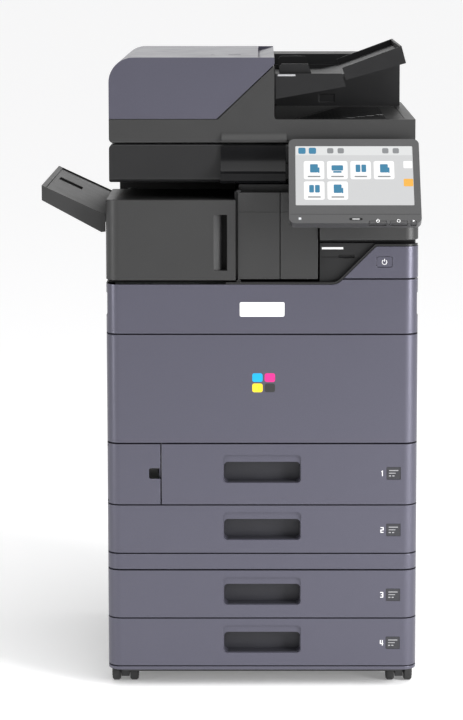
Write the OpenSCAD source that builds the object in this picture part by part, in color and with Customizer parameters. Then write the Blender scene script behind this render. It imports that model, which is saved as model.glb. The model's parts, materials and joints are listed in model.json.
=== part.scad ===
// Floor-standing colour photocopier with a document feeder, an inner finisher, four paper
// drawers and a tilting touch panel. Millimetres, +Z up, +Y to the rear.
// Every sub-part is drawn in the cabinet's own frame (x = 0 on its centre plane, y = 0 on the
// drawer fronts, z = 0 on the floor) and placed() moves it to the origin below the whole machine.

/* [Cabinet] */
// Width of the cabinet
body_w = 602; // [596:1:608]
// Depth from the drawer fronts to the rear cover
body_d = 560; // [556:1:566]
// Radius of the two front corners
corner_r = 27; // [22:1:28]
// Wall of the moulded covers
wall = 3; // [2.5:0.5:3.5]
// Depth of a front panel from face to rim
front_d = 26; // [25:0.5:27]
// Gap between neighbouring covers
seam = 2.6; // [2:0.2:3]

/* [Heights] */
// Underside of the lowest drawer
base_z = 45.5; // [45:0.5:47]
// Pitch of drawers two, three and four
drawer_h = 96; // [94:1:98]
// Height of the strip between the feeder and the main unit
strip_h = 33; // [31:1:35]
// Pitch of the top drawer
drawer_1_h = 121; // [119:1:123]
// Height of the front cover
cover_h = 214; // [212:1:216]
// Height of the panel above the front cover
upper_h = 96.5; // [95:0.5:98]

/* [Scanner and document feeder] */
// Width of the scanner and of the document feeder
scan_w = 590; // [588:1:592]
// Distance of the scanner's face behind the drawer fronts
scan_y = 40; // [40:1:42]
// Depth of the scanner
scan_d = 505; // [503:1:506]
// Underside of the scanner
scan_z = 991; // [990:0.5:992]
// Height of the scanner
scan_h = 74; // [73:0.5:75]
// Height of the document feeder's low deck
deck_h = 46; // [45:0.5:47]
// Height of the document feeder at its cover
adf_h = 165; // [164:0.5:166]
// Radius of the feeder cover's shoulder
shoulder_r = 48; // [44:1:52]

/* [Touch panel] */
// Width of the touch panel
panel_w = 249; // [246:1:250]
// Length of the touch panel along its face
panel_l = 190; // [188:1:192]
// Lean of the touch panel from upright, in degrees
panel_lean = 38.5; // [37:0.5:40]
// Thickness of the touch panel
panel_t = 16; // [14:1:17]

/* [Trays] */
// Reach of the finished-copy tray past the cabinet
tray_reach = 123; // [120:1:130]
// Slope of the finished-copy tray, in degrees
tray_slope = 25; // [23:1:26]
// Travel of the paper drawers
drawer_travel = 430; // [400:10:440]

/* [Casters] */
// Radius of a caster wheel
wheel_r = 18.5; // [18:0.5:18.5]
// Width of a caster wheel
wheel_w = 16; // [14:1:16]

/* [Hidden] */
$fn = 48;

// Colours of the mouldings.
SLATE = [0.33, 0.33, 0.40];
CHARCOAL = [0.17, 0.17, 0.17];
BLACK = [0.05, 0.05, 0.055];
STEEL = [0.62, 0.63, 0.65];
PALE = [0.90, 0.90, 0.88];
GLASS = [0.55, 0.62, 0.62];
SCREEN = [0.80, 0.80, 0.80];
RUBBER = [0.13, 0.13, 0.13];
TONER = [0.12, 0.12, 0.14];

// Floor of each front panel, from the bottom up.
z_4 = base_z;
z_3 = z_4 + drawer_h;
z_strip = z_3 + drawer_h;
z_2 = z_strip + strip_h;
z_1 = z_2 + drawer_h;
z_cover = z_1 + drawer_1_h;
z_upper = z_cover + cover_h;
z_bay = z_upper + upper_h;
DRAWER_Z = [z_1, z_2, z_3, z_4];
DRAWER_H = [drawer_1_h, drawer_h, drawer_h, drawer_h];

half_w = body_w / 2;
frame_w = body_w - 32;
plate = 2.5;
bay_y = 45;
tray_w = 540;
door_split_x = -194.5;

// The sloping edge of the bay runs at 45 degrees from the upper panel to the power panel.
bay_rise = 74;
power_z = z_bay + 11;
bay_top = z_bay + bay_rise;
bay_foot_x = 145;
bay_r = 25;
rim_t = 4.5;

fin_x0 = -half_w;
fin_x1 = -51;
fin_z0 = z_bay + 8;
fin_top = 961;
relay_x = [-47, 34.5, 108];
relay_top = 975;
rear_box_y = 501;
column_z = 884;

half_scan = scan_w / 2;
platen_z = scan_z + scan_h;
adf_z = platen_z + 2;
deck_z = adf_z + deck_h;
adf_top = adf_z + adf_h;
feeder_x = 23.5;
rear_block_y = 430;
lid_axis = [scan_y + scan_d + 6, adf_z + 1];
lid_hinge_x = [-180, 180];

// Touch panel: its lower front edge, and the tilt axis behind its top.
panel_x = 175;
panel_foot = [-105, 929];
PANEL_KEYS = [[26, 58], [65, 97], [104, 114]];
tilt_axis = [22, 1046];

// Finished-copy tray: its ends, its gap to the cabinet and the top of its rim at the cabinet.
tray_y0 = 60;
tray_y1 = 472;
tray_gap = 3;
tray_x = -half_w - tray_gap;
tray_z = 926.5;
exit_z = 937;

wheel_gap = 35;
caster_x = 270;
caster_y = [62, body_d - 70];
trail = 10;
axle_r = 4;
rail_x = 272;
rail_z = 27;
rail_t = 4;

// Radius of the small hinge pins, the play round them, and the axis of the two left-hand doors.
pin_r = 1.8;
play = 0.05;
door_axis = [-297, 22];
cover_axis = [-292, adf_z + 53];
feed_axis = [30, adf_top - 35];
bypass_axis = [298.3, z_cover + 15.5];
right_axis = [296, 496];

// Sides of the grips let into the front corners.
grip_z = [z_upper + 34, z_upper + 79];
grip_y = [12, 56];

drawer_handle_w = 151;
drawer_handle_h = 55;
HANDLE_DROP = [21, 13, 13, 13];

// Outer limits, which place the origin at the middle of the machine's footprint.
x_min = tray_x - tray_reach;
y_min = panel_foot[0];
centre = [(x_min + half_w) / 2, (y_min + body_d) / 2];

// ---------- shared shapes ----------

module placed() translate([-centre[0], -centre[1], 0]) children();

// A box between two corners.
module span(lo, hi) translate(lo) cube(hi - lo);

// An outline in x and z, extruded from y0 to y1.
module along_y(y0, y1) translate([0, y1, 0]) rotate([90, 0, 0]) linear_extrude(height = y1 - y0) children();

// An outline in y and z, extruded from x0 to x1.
module along_x(x0, x1) translate([x0, 0, 0]) rotate([90, 0, 90]) linear_extrude(height = x1 - x0) children();

function arc(c, r, a0, a1, n = 8) =
  [for (i = [0:n]) let (a = a0 + (a1 - a0) * i / n) c + r * [cos(a), sin(a)]];

// A flat outline with four round corners.
module rounded(w, h, r) {
  translate([-w / 2 + r, -h / 2]) square([w - 2 * r, h]);
  translate([-w / 2, -h / 2 + r]) square([w, h - 2 * r]);
  for (x = [-w / 2 + r, w / 2 - r], z = [-h / 2 + r, h / 2 - r]) translate([x, z]) circle(r = r);
}

// Plan of the cabinet, inset all round, with its two front corners round.
module cabinet_plan(inset = 0) {
  r = corner_r - inset;
  w = half_w - inset;
  translate([-w + r, inset]) square([2 * (w - r), body_d]);
  translate([-w, inset + r]) square([2 * w, body_d]);
  for (s = [-1, 1]) translate([s * (w - r), inset + r]) circle(r = r, $fn = 96);
}

// A moulded front panel, open at the back, between x0 and x1 and between z0 and z1.
module front_shell(x0, x1, z0, z1) {
  difference() {
    intersection() {
      translate([0, 0, z0]) linear_extrude(height = z1 - z0) cabinet_plan();
      span([x0, -1, z0 - 1], [x1, front_d, z1 + 1]);
    }
    intersection() {
      translate([0, 0, z0 + wall]) linear_extrude(height = z1 - z0 - 2 * wall) cabinet_plan(wall);
      span([x0 + wall, wall, z0], [x1 - wall, front_d + 1, z1]);
    }
  }
}

// The cover outline below the bay: flat, then up at 45 degrees, then flat; raised by o.
function bay_edge(o, right) =
  let (k = 0.4142, x_a = bay_foot_x - k * o, x_b = bay_foot_x + bay_rise - k * o)
  concat(
    [[-half_w - 1, z_bay - 300], [-half_w - 1, z_bay + o]],
    arc([x_a - k * bay_r, z_bay + o + bay_r], bay_r, -90, -45, 6),
    [[x_b, bay_top + o], [right, bay_top + o], [right, z_bay - 300]]
  );

// Rods along y, x and z.
module rod_y(x, z, r, y0, y1) translate([x, y1, z]) rotate([90, 0, 0]) cylinder(r = r, h = y1 - y0);
module rod_x(y, z, r, x0, x1) translate([x0, y, z]) rotate([0, 90, 0]) cylinder(r = r, h = x1 - x0);
module rod_z(x, y, r, z0, z1) translate([x, y, z0]) cylinder(r = r, h = z1 - z0);

// A row of vertical slots through a wall that faces x.
module slots_x(x, y, z, n, pitch, w, h, t)
  for (i = [0:n - 1]) translate([x - t / 2, y + i * pitch, z]) cube([t, w, h]);

// Ear of a left-hand door's hinge, from z up, and the round room for it in the door.
module door_ear(z) difference() {
  union() {
    rod_z(door_axis[0], door_axis[1], 3.6, z, z + 3);
    span([door_axis[0] - 3, door_axis[1], z], [door_axis[0] + 3, 34, z + 3]);
  }
  rod_z(door_axis[0], door_axis[1], pin_r + play, z - 1, z + 4);
}

module door_pin(z0, z1) rod_z(door_axis[0], door_axis[1], pin_r, z0, z1);
module door_room(z) rod_z(door_axis[0], door_axis[1], 7, z - 0.6, z + 3.6);

// ---------- frames ----------

// Steel sheet box of the main unit: side plates, back, floor, engine shelf, roof and drawer rails.
module main_frame() color(STEEL) placed() {
  x = frame_w / 2;
  y1 = body_d - 12;
  for (s = [-1, 1]) difference() {
    span([s > 0 ? x - plate : -x, bay_y, z_2 + 2], [s > 0 ? x : -x + plate, y1, z_bay - 2]);
    if (s > 0) span([x - 10, 90, z_cover + 30], [x + 10, y1 - 90, z_bay - 60]);
  }
  difference() {
    span([-x + plate, y1 - plate, z_2 + 2], [x - plate, y1, z_bay - 2]);
    span([fan_x - 34, y1 - 10, fan_z - 34], [fan_x + 34, y1 + 1, fan_z + 34]);
  }
  span([-x + plate, bay_y, z_2 + 2], [x - plate, y1 - plate, z_2 + 2 + plate]);
  span([-x + plate, bay_y, z_cover + 1], [x - plate, y1 - plate, z_cover + 1 + plate]);
  span([-x + plate, bay_y, z_bay - 2 - plate], [x - plate, y1 - plate, z_bay - 2]);
  drawer_rails(z_2, -x + plate, x - plate);
  drawer_rails(z_1, door_split_x + 1, x - plate);
  span([door_split_x - 3, bay_y, z_1], [door_split_x + 1, y1 - plate, z_cover + 1]);
}

// A pair of ledges that a drawer's flanges slide on.
module drawer_rails(z, x0, x1) {
  span([x0, bay_y + 5, z + 6], [x0 + 12, body_d - 30, z + 12]);
  span([x1 - 12, bay_y + 5, z + 6], [x1, body_d - 30, z + 12]);
}

// Frame of the lower feeder, with the base plate that carries the casters.
module feeder_frame() color(BLACK) placed() {
  x = frame_w / 2;
  y1 = body_d - 12;
  for (s = [-1, 1]) span([s > 0 ? x - plate : -x, bay_y, z_4 + 1], [s > 0 ? x : -x + plate, y1, z_2 - 1]);
  span([-x + plate, y1 - plate, z_4 + 1], [x - plate, y1, z_2 - 1]);
  span([-x + plate, bay_y, z_2 - 1 - plate], [x - plate, y1 - plate, z_2 - 1]);
  drawer_rails(z_3, -x + plate, x - plate);
  drawer_rails(z_4, -x + plate, x - plate);
  base_tray();
  for (s = [-1, 1]) rear_fork(s);
}

// Folded base tray under the feeder: floor, front rail and rear rail, with the swivel bearings.
module base_tray() {
  x = frame_w / 2;
  difference() {
    span([-x, front_d + 1.5, 39], [x, body_d - 12, z_4 + 1]);
    for (s = [-1, 1]) {
      rod_z(s * caster_x, caster_y[0] + trail, 5.05, 30, z_4 + 10);
      rod_z(s * caster_x, caster_y[0] + trail, 11, z_4 - 3, z_4 + 10);
    }
  }
  for (y = [front_d + 1.5, body_d - 24]) along_y(y, y + rail_t)
    polygon([[-rail_x, 39.5], [-rail_x, rail_z], [rail_x, rail_z], [rail_x, 39.5]]);
}

// Fixed fork of a rear caster, with its axle.
module rear_fork(s) {
  translate([s * caster_x, caster_y[1], 0]) {
    span([-8, -12, 12], [8, 12, 39]);
    rod_x(0, wheel_r, axle_r, -wheel_gap / 2 - wheel_w / 2 - 1, wheel_gap / 2 + wheel_w / 2 + 1);
  }
}

// ---------- side and rear covers ----------

// Left and right covers of the main unit: louvres on the left, the door's opening on the right.
module side_covers() color(CHARCOAL) placed() {
  difference() {
    span([-half_w, front_d + 2, z_2 + 1], [-half_w + wall, body_d - 4, z_bay]);
    slots_x(-half_w, 330, z_cover + 40, 14, 11, 5, 70, 20);
    slots_x(-half_w, 330, z_cover + 125, 14, 11, 5, 40, 20);
    span([-half_w - 1, 90, z_2 + 24], [-half_w + 10, 190, z_2 + 54]);
    corner_grips();
  }
  for (z = [z_1 + 4.5, z_cover - 7.5]) door_ear(z);
  difference() {
    union() {
      span([half_w - wall, front_d + 2, z_2 + 1], [half_w, body_d - 4, z_bay]);
      span([half_w - wall, front_d + 2, z_bay - 1], [half_w, rear_box_y - 3, z_bay + 8]);
    }
    span([half_w - 10, 58, z_2 + 10], [half_w + 1, 503.5, z_bay - 3]);
    corner_grips();
  }
  for (z = [z_2 + 7.2, z_bay - 2.8]) difference() {
    span([half_w - 11, 488, z], [half_w - 1, 503, z + 2.6]);
    rod_z(right_axis[0], right_axis[1], pin_r + play, z - 1, z + 4);
  }
}

// Shallow finger grips on both sides, just behind the front corners.
module corner_grips() for (s = [-1, 1]) let (x = s > 0 ? half_w - 2.2 : -half_w - 1)
  span([x, grip_y[0], grip_z[0]], [x + 3.2, grip_y[1], grip_z[1]]);

// Rear cover of the main unit, with the fan's grille and shroud and the socket panel.
module rear_cover() color(CHARCOAL) placed() {
  difference() {
    union() {
      span([-half_w + 1, body_d - wall, z_2 + 1], [half_w - 1, body_d, scan_z - 1]);
      rod_y(fan_x, fan_z, 49, body_d - 12, body_d - wall);
    }
    rod_y(fan_x, fan_z, 46, body_d - 13, body_d - wall + 0.1);
    for (i = [-4:4]) let (h = 2 * sqrt(44 * 44 - i * i * 100) )
      span([fan_x + i * 10 - 3, body_d - 5, fan_z - h / 2], [fan_x + i * 10 + 3, body_d + 1, fan_z + h / 2]);
    for (i = [0:15]) span([-230 + i * 12, body_d - 5, z_upper], [-224 + i * 12, body_d + 1, z_upper + 60]);
    span([-254, body_d - 5, z_2 + 20], [-226, body_d + 1, z_2 + 41]);
    span([-60, body_d - 5, z_1 + 60], [60, body_d + 1, z_1 + 92]);
  }
  span([-60, body_d - 10, z_1 + 60], [60, body_d - wall - 2, z_1 + 92]);
}

// Left, right and rear covers of the lower feeder.
module feeder_covers() color(CHARCOAL) placed() {
  for (x = [-half_w, half_w - wall]) difference() {
    span([x, front_d + 2, base_z - 6], [x + wall, body_d - 4, z_2 - 1]);
    span([x - 10, 90, z_2 - 56], [x + 10, 190, z_2 - 30]);
  }
  span([-half_w + 1, body_d - wall, base_z - 6], [half_w - 1, body_d, z_2 - 1]);
}

// Slate strip above the feeder's drawers, and the lip that closes the front under them.
module feeder_trim() color(SLATE) placed() {
  front_shell(-half_w, half_w, z_strip + seam / 2, z_2 - seam / 2);
  difference() {
    intersection() {
      translate([0, 0, base_z - 7.5]) linear_extrude(height = 6.5) cabinet_plan();
      span([-half_w, -1, 0], [half_w, front_d, base_z]);
    }
    translate([0, 0, base_z - 9]) linear_extrude(height = 12) cabinet_plan(14);
  }
}

// ---------- front panels ----------

module front_upper_panel() color(SLATE) placed() difference() {
  intersection() {
    front_shell(-half_w, half_w, z_upper + seam / 2, power_z - seam / 2);
    along_y(-1, front_d) polygon(bay_edge(0, half_w + 1));
  }
  corner_grips();
}

module power_panel() color(SLATE) placed() difference() {
  intersection() {
    front_shell(bay_foot_x, half_w, power_z + seam / 2, bay_top);
    along_y(-1, front_d) polygon(bay_edge(0, half_w + 1));
  }
  along_y(-1, wall + 1) translate([power_key[0], power_key[1]]) rounded(31, 21, 4);
}

power_key = [235, z_bay + 44];

module power_button() color(SLATE) placed() {
  along_y(1, 9) translate(power_key) rounded(29.6, 19.6, 3.4);
  along_y(9, 11) translate(power_key) rounded(34, 15, 3);
}

// Recessed panel beside the bay with its port block, the rim along the slate covers, and the floor
// of the bay under the finisher.
module bay_panel() color(CHARCOAL) placed() {
  difference() {
    intersection() {
      translate([0, 0, z_bay - 2]) linear_extrude(height = bay_rise + 12) cabinet_plan(0.6);
      along_y(-1, 22) difference() {
        polygon(bay_edge(rim_t, half_w + 1));
        polygon(bay_edge(0.4, half_w + 2));
      }
    }
    span([-half_w - 1, -5, z_bay - 5], [rim_x0, 40, bay_top + 10]);
  }
  along_y(front_d + 2, front_d + 5) translate([relay_x[2] + 3, z_bay + 1])
    square([half_w - 9 - relay_x[2], column_z - z_bay - 3]);
  difference() {
    union() {
      along_y(13, front_d + 2.5) bay_face(z_bay + 51, z_bay + 79);
      along_y(16, front_d + 2.5) bay_face(z_bay + 1, z_bay + 51.5);
    }
    span([147, 12, z_bay + 50], [178, 22, z_bay + 56.5]);
  }
  span([-half_w + 4, front_d + 2, z_bay + 0.5], [relay_x[2] + 1.5, 480, z_bay + 3]);
  span([relay_x[2] - 8, front_d + 2, z_bay + 0.5], [relay_x[2] + 4, 40, z_bay + 3]);
}

// Outline of a face beside the bay, between two heights, cut along the rim.
module bay_face(z0, z1) difference() {
  translate([relay_x[2] + 3, z0]) square([bay_foot_x + bay_rise - relay_x[2] - 3, z1 - z0]);
  polygon(bay_edge(rim_t - 1, half_w + 1));
}

rim_x0 = -70;

module front_cover() color(SLATE) placed() {
  front_shell(-half_w, half_w, z_cover + seam / 2, z_upper - seam / 2);
}

// Small door left of the top drawer, with a finger notch in its free edge.
module waste_toner_door() color(SLATE) placed() difference() {
  union() {
    difference() {
      front_shell(-half_w, door_split_x - seam, z_1 + seam / 2, z_cover - seam / 2);
      for (z = [z_1 + 4.5, z_cover - 7.5]) door_room(z);
    }
    door_pin(z_1 + 2, z_1 + 14);
    door_pin(z_cover - 14, z_cover - 2);
  }
  along_y(-1, 14) translate([door_split_x - seam - 6, z_1 + 62]) rounded(32, 21, 4);
}

// ---------- drawers ----------

// Cut for the grip: a shallow scoop, the finger pocket under it, and the room behind its lip.
module grip_cut(z) {
  r = 8;
  along_y(-1, 5) translate([0, z]) rounded(drawer_handle_w, drawer_handle_h, r);
  along_y(4, 32) translate([0, z - 7]) rounded(drawer_handle_w - 3, drawer_handle_h - 15, r);
  along_y(14, 38) translate([0, z - 1]) rounded(drawer_handle_w - 3, drawer_handle_h - 4, r);
}

module grip_box(z) {
  along_y(1, 41) translate([0, z]) rounded(drawer_handle_w + 5, drawer_handle_h + 5, 9);
}

module drawer_front(i) color(SLATE) placed() {
  z0 = DRAWER_Z[i];
  h = DRAWER_H[i];
  x0 = i == 0 ? door_split_x : -half_w;
  grip_z = z0 + h - HANDLE_DROP[i] - seam / 2 - drawer_handle_h / 2;
  label_z = z0 + h - (i == 0 ? 58.5 : 49.5);
  difference() {
    union() {
      front_shell(x0, half_w, z0 + seam / 2, z0 + h - seam / 2);
      grip_box(grip_z);
    }
    grip_cut(grip_z);
    along_y(-1, 1.6) translate([255, label_z]) rounded(28, 25, 1.5);
  }
}

module drawer_tray(i) color(BLACK) placed() {
  z0 = DRAWER_Z[i];
  x0 = i == 0 ? door_split_x + 15 : -tray_w / 2;
  x1 = tray_w / 2;
  y0 = 41;
  y1 = body_d - 36;
  top = z0 + 82;
  floor_z = z0 + 13;
  difference() {
    span([x0, y0, floor_z], [x1, y1, top]);
    span([x0 + plate, y0 + plate, floor_z + plate], [x1 - plate, y1 - plate, top + 1]);
    span([x1 - 5, 150, top - 18], [x1 + 1, 430, top + 1]);
  }
  span([x0 - 10, y0, floor_z], [x0, y1, floor_z + 3]);
  span([x1, y0, floor_z], [x1 + 10, y1, floor_z + 3]);
  for (y = [guide_y[0] - 5, guide_y[1]]) span([40, y, floor_z], [110, y + 5, top - 6]);
  span([lift_x0 - 16, 250, floor_z], [lift_x0 - 10, 330, top - 6]);
}

lift_x0 = -60;
guide_y = [108, 472];

module lift_plate(i) color(STEEL) placed() {
  z = DRAWER_Z[i] + 22;
  difference() {
    span([lift_x0, 110, z], [tray_w / 2 - 12, 470, z + 2]);
    span([60, 250, z - 1], [tray_w / 2, 330, z + 3]);
  }
  rod_y(lift_x0, z + 1, 3, 110, 470);
}

// ---------- inside ----------

// Laser unit, four photoconductor drums with their developers, transfer belt and fuser.
module print_engine() color(BLACK) placed() {
  laser_unit();
  for (i = [0:3]) drum_unit(-175 + i * 95, z_cover + 78);
  transfer_belt(z_cover + 120);
  fuser_unit(232, z_upper - 10);
}

module laser_unit() difference() {
  union() {
    span([-240, 70, z_cover + 6], [180, 500, z_cover + 44]);
    for (i = [0:3]) span([-205 + i * 95, 110, z_cover + 44], [-175 + i * 95, 460, z_cover + 48]);
  }
  span([-236, 74, z_cover + 10], [176, 501, z_cover + 40]);
}

module drum_unit(x, z) {
  rod_y(x, z, 15, 90, 480);
  difference() {
    span([x - 62, 95, z - 20], [x - 17, 475, z + 14]);
    span([x - 59, 98, z - 17], [x - 20, 476, z + 11]);
  }
}

belt_x = [-230, 165];

module transfer_belt(z) {
  along_y(95, 475) difference() {
    belt_outline(z, 18);
    belt_outline(z, 17);
  }
  for (x = belt_x) rod_y(x, z, 12, 92, 478);
}

module belt_outline(z, r) {
  translate([belt_x[0], z - r]) square([belt_x[1] - belt_x[0], 2 * r]);
  for (x = belt_x) translate([x, z]) circle(r = r);
}

module fuser_unit(x, z) {
  difference() {
    span([x - 40, 70, z - 50], [x + 40, 490, z + 60]);
    span([x - 36, 74, z - 46], [x + 36, 486, z + 56]);
    span([x - 8, 100, z - 60], [x + 8, 460, z + 70]);
  }
  for (s = [-1, 1]) rod_y(x + s * 17.2, z, 17, 78, 482);
}

// Black, cyan, magenta and yellow containers in a row behind the front cover.
module toner_containers() color(TONER) placed() for (i = [0:3]) {
  w = i == 3 ? 96 : 76;
  x = -248 + i * 92 + w / 2;
  z = z_upper - 42;
  along_y(40, 420) translate([x, z]) rounded(w, 52, 12);
  along_y(32, 40) translate([x, z]) rounded(32, 38, 5);
}

module waste_toner_box() color(PALE) placed() {
  x1 = door_split_x - 8;
  span([-278, 48, z_1 + 12], [x1, 420, z_cover - 14]);
  rod_y((x1 - 278) / 2, z_1 + 70, 14, 38, 48);
}

fan_x = 150;
fan_z = z_upper - 60;

module exhaust_fan() color(BLACK) placed() {
  y = body_d - 6;
  difference() {
    union() {
      rod_y(fan_x, fan_z, 16, y - 5, y + 2);
      for (a = [0:40:320]) translate([fan_x, y, fan_z]) rotate([0, a, 0])
        translate([12, 0, 0]) rotate([30, 0, 0]) translate([0, -0.8, -6]) cube([31, 1.6, 12]);
    }
    span([fan_x - 60, y + 2, fan_z - 60], [fan_x + 60, y + 12, fan_z + 60]);
    span([fan_x - 60, y - 20, fan_z - 60], [fan_x + 60, y - 5.5, fan_z + 60]);
  }
}

// ---------- upper body ----------

// Column on the right and box across the back that carry the scanner.
module scanner_column() color(CHARCOAL) placed() {
  x0 = relay_x[2] + 2.5;
  difference() {
    intersection() {
      translate([0, 0, column_z]) linear_extrude(height = scan_z - 1 - column_z) cabinet_plan();
      span([x0, 0, column_z], [half_w + 1, rear_box_y - 1, scan_z]);
    }
    intersection() {
      translate([0, 0, column_z + wall]) linear_extrude(height = scan_z - column_z) cabinet_plan(wall);
      span([x0 + wall, wall, column_z], [half_w, rear_box_y, scan_z - 4]);
    }
  }
  difference() {
    span([x0, 42, z_bay], [half_w - 4, rear_box_y - 1, column_z]);
    span([x0 + wall, 42 + wall, z_bay - 1], [half_w - 4 - wall, rear_box_y, column_z - wall]);
  }
  difference() {
    span([-half_w, rear_box_y - 1, z_bay], [half_w, body_d - 4, scan_z - 1]);
    span([-half_w + wall, rear_box_y - 1 + wall, z_bay + wall], [half_w - wall, body_d, scan_z - 1 - wall]);
  }
}

// Sweep that joins the panel arm to the scanner's face.
module panel_arm() color(BLACK) placed() {
  along_x(-80, 45) polygon(concat(
    [for (a = [0:10:90]) [scan_y - 4 - 26 * (1 - cos(a)), platen_z - 2 - 52 * sin(a)]],
    [[10, scan_z + 7], [16, scan_z + 1], [scan_y - 0.2, scan_z + 1], [scan_y - 0.2, platen_z - 2]]
  ));
  for (x = [panel_x - 60, panel_x + 60]) difference() {
    union() {
      rod_x(tilt_axis[0], tilt_axis[1], 7, x - 9, x + 9);
      along_x(x - 9, x + 9) polygon([
        [tilt_axis[0], tilt_axis[1] - 7], [tilt_axis[0], tilt_axis[1] + 7],
        [scan_y - 0.2, tilt_axis[1] + 10], [scan_y - 0.2, tilt_axis[1] - 20]]);
    }
    rod_x(tilt_axis[0], tilt_axis[1], 3.55, x - 10, x + 10);
  }
  span([45, 30, scan_z + 8], [290, scan_y - 0.2, tilt_axis[1] - 18]);
}

// Puts the panel's own frame (x across, y into it, z up its face) on its lower front edge.
module panel_frame()
  translate([panel_x, panel_foot[0], panel_foot[1]]) rotate([-panel_lean, 0, 0]) children();

module panel_housing() color(CHARCOAL) placed() {
  panel_frame() difference() {
    translate([0, panel_t, panel_l / 2]) rotate([90, 0, 0])
      linear_extrude(height = panel_t) rounded(panel_w, panel_l, 12);
    translate([0, 3, panel_l / 2 + 12]) rotate([90, 0, 0]) linear_extrude(height = 5) rounded(224, 134, 2);
    for (k = PANEL_KEYS) span([k[0] - 0.4, -1, -1], [k[1] + 0.4, 9, 5.4]);
  }
  for (x = [panel_x - 42, panel_x + 42]) hinge_lug(x);
}

// Small key on the panel's lower edge.
module panel_key(k) color(CHARCOAL) placed() panel_frame() span([k[0], 0, 0.4], [k[1], 7, 5]);

// Lug on the panel's back that holds the tilt pin.
module hinge_lug(x) {
  rod_x(tilt_axis[0], tilt_axis[1], 7, x - 8, x + 8);
  along_x(x - 8, x + 8) polygon([
    [tilt_axis[0] - 4, tilt_axis[1] - 7], [tilt_axis[0] + 2, tilt_axis[1] + 6.5], [-2, 1050], [-14, 1035]]);
  s = x > panel_x ? 1 : -1;
  rod_x(tilt_axis[0], tilt_axis[1], 3.5, s > 0 ? x + 8 : x - 28, s > 0 ? x + 28 : x - 8);
}

module touch_screen() color(SCREEN) placed() panel_frame()
  translate([0, 2.9, panel_l / 2 + 12]) rotate([90, 0, 0])
    linear_extrude(height = 2.4) rounded(223.4, 133.4, 2);

// Body of the finisher and of the relay unit: a shell with the paper way out to the left, the exit
// rollers, and the ears of its two doors.
module finisher_body() color(BLACK) placed() {
  y1 = body_d - 64;
  x_in = relay_x[2] - 6;
  difference() {
    union() {
      span([fin_x0 + 1, front_d + 2, fin_z0], [fin_x1 - 2, 236, fin_top - 2]);
      span([fin_x0 + 1, 236, fin_z0], [fin_x1 - 2, y1, 926]);
      span([fin_x1 - 2, front_d + 2, fin_z0], [relay_x[2], y1, relay_top]);
      span([fin_x1 + 6, front_d + 10, relay_top], [relay_x[2], 200, scan_z - 3]);
    }
    span([fin_x0 + 1 + wall, front_d + 20, fin_z0 + 8], [x_in, 226, fin_top - 10]);
    span([fin_x0 + 1 + wall, 225, fin_z0 + 8], [x_in, y1 - 6, 918]);
    span([fin_x0, 158, fin_z0 + 14], [fin_x0 + 10, 396, 914]);
    span([fin_x0, 105, exit_z - 8], [fin_x0 + 10, 225, exit_z + 8]);
  }
  exit_rollers();
  for (z = [fin_z0 + 2.5, fin_top - 5.5]) door_ear(z);
  for (z = [z_bay + 4.5, relay_top + 1]) relay_ear(z);
}

// Shaft with three rollers that carries the copies out over the rear half of the body.
module exit_rollers() {
  x = fin_x0 + 30;
  rod_y(x, exit_z, 4, 100, 400);
  for (y = [112, 250, 330]) rod_y(x, exit_z, 9, y, y + 60);
  span([x - 9, 396, 925], [x + 9, 404, exit_z + 7]);
}

// Ear above or below the relay door, with the bore for its pin.
module relay_ear(z) difference() {
  union() {
    span([relay_axis[0] - 4, relay_axis[1] - 3.5, z], [relay_axis[0] + 4, front_d + 12, z + 3.5]);
    span([relay_axis[0] - 4, front_d + 3, min(z, relay_top - 1)],
      [relay_axis[0] + 4, front_d + 12, max(z + 3.5, fin_z0 + 1)]);
  }
  rod_z(relay_axis[0], relay_axis[1], 1.5 + play, z - 1, z + 5);
}

relay_axis = [-45, 8];

// Door of the finisher: front face, round left corner, hinge pins and the tall grip.
module finisher_door() color(CHARCOAL) placed() {
  z0 = fin_z0 + 0.5;
  difference() {
    union() {
      front_shell(-half_w, fin_x1, z0, fin_top);
      span([-96, 1, 822], [-62, 26.5, 936]);
    }
    translate([0, 0, 825]) linear_extrude(height = 108)
      polygon([[-93, -1], [-93, 1.5], [-78, 13], [-78, 23.5], [-67, 23.5], [-67, -1]]);
    for (z = [fin_z0 + 2.5, fin_top - 5.5]) door_room(z);
  }
  door_pin(z0 + 1, z0 + 12);
  door_pin(fin_top - 12, fin_top - 1);
}

// Flat panel with a crease near its top, beside the finisher; the left one turns on two pins.
module relay_panel(x0, x1, pins) color(CHARCOAL) placed() {
  difference() {
    span([x0 + 1, 6, z_bay + 10], [x1 - 1, front_d, relay_top]);
    span([x0 + 1 + wall, 6 + wall, z_bay + 10 + wall], [x1 - 1 - wall, front_d + 1, relay_top - wall]);
    span([x0, 5, 937.4], [x1, 6.8, 938.6]);
  }
  if (pins) {
    rod_z(relay_axis[0], relay_axis[1], 1.5, z_bay + 5, z_bay + 14);
    rod_z(relay_axis[0], relay_axis[1], 1.5, relay_top - 4, relay_top + 4);
  }
}

// Height of the tray's rim at x.
function rim_z(x) = tray_z + (tray_x - x) * tan(tray_slope);

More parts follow.
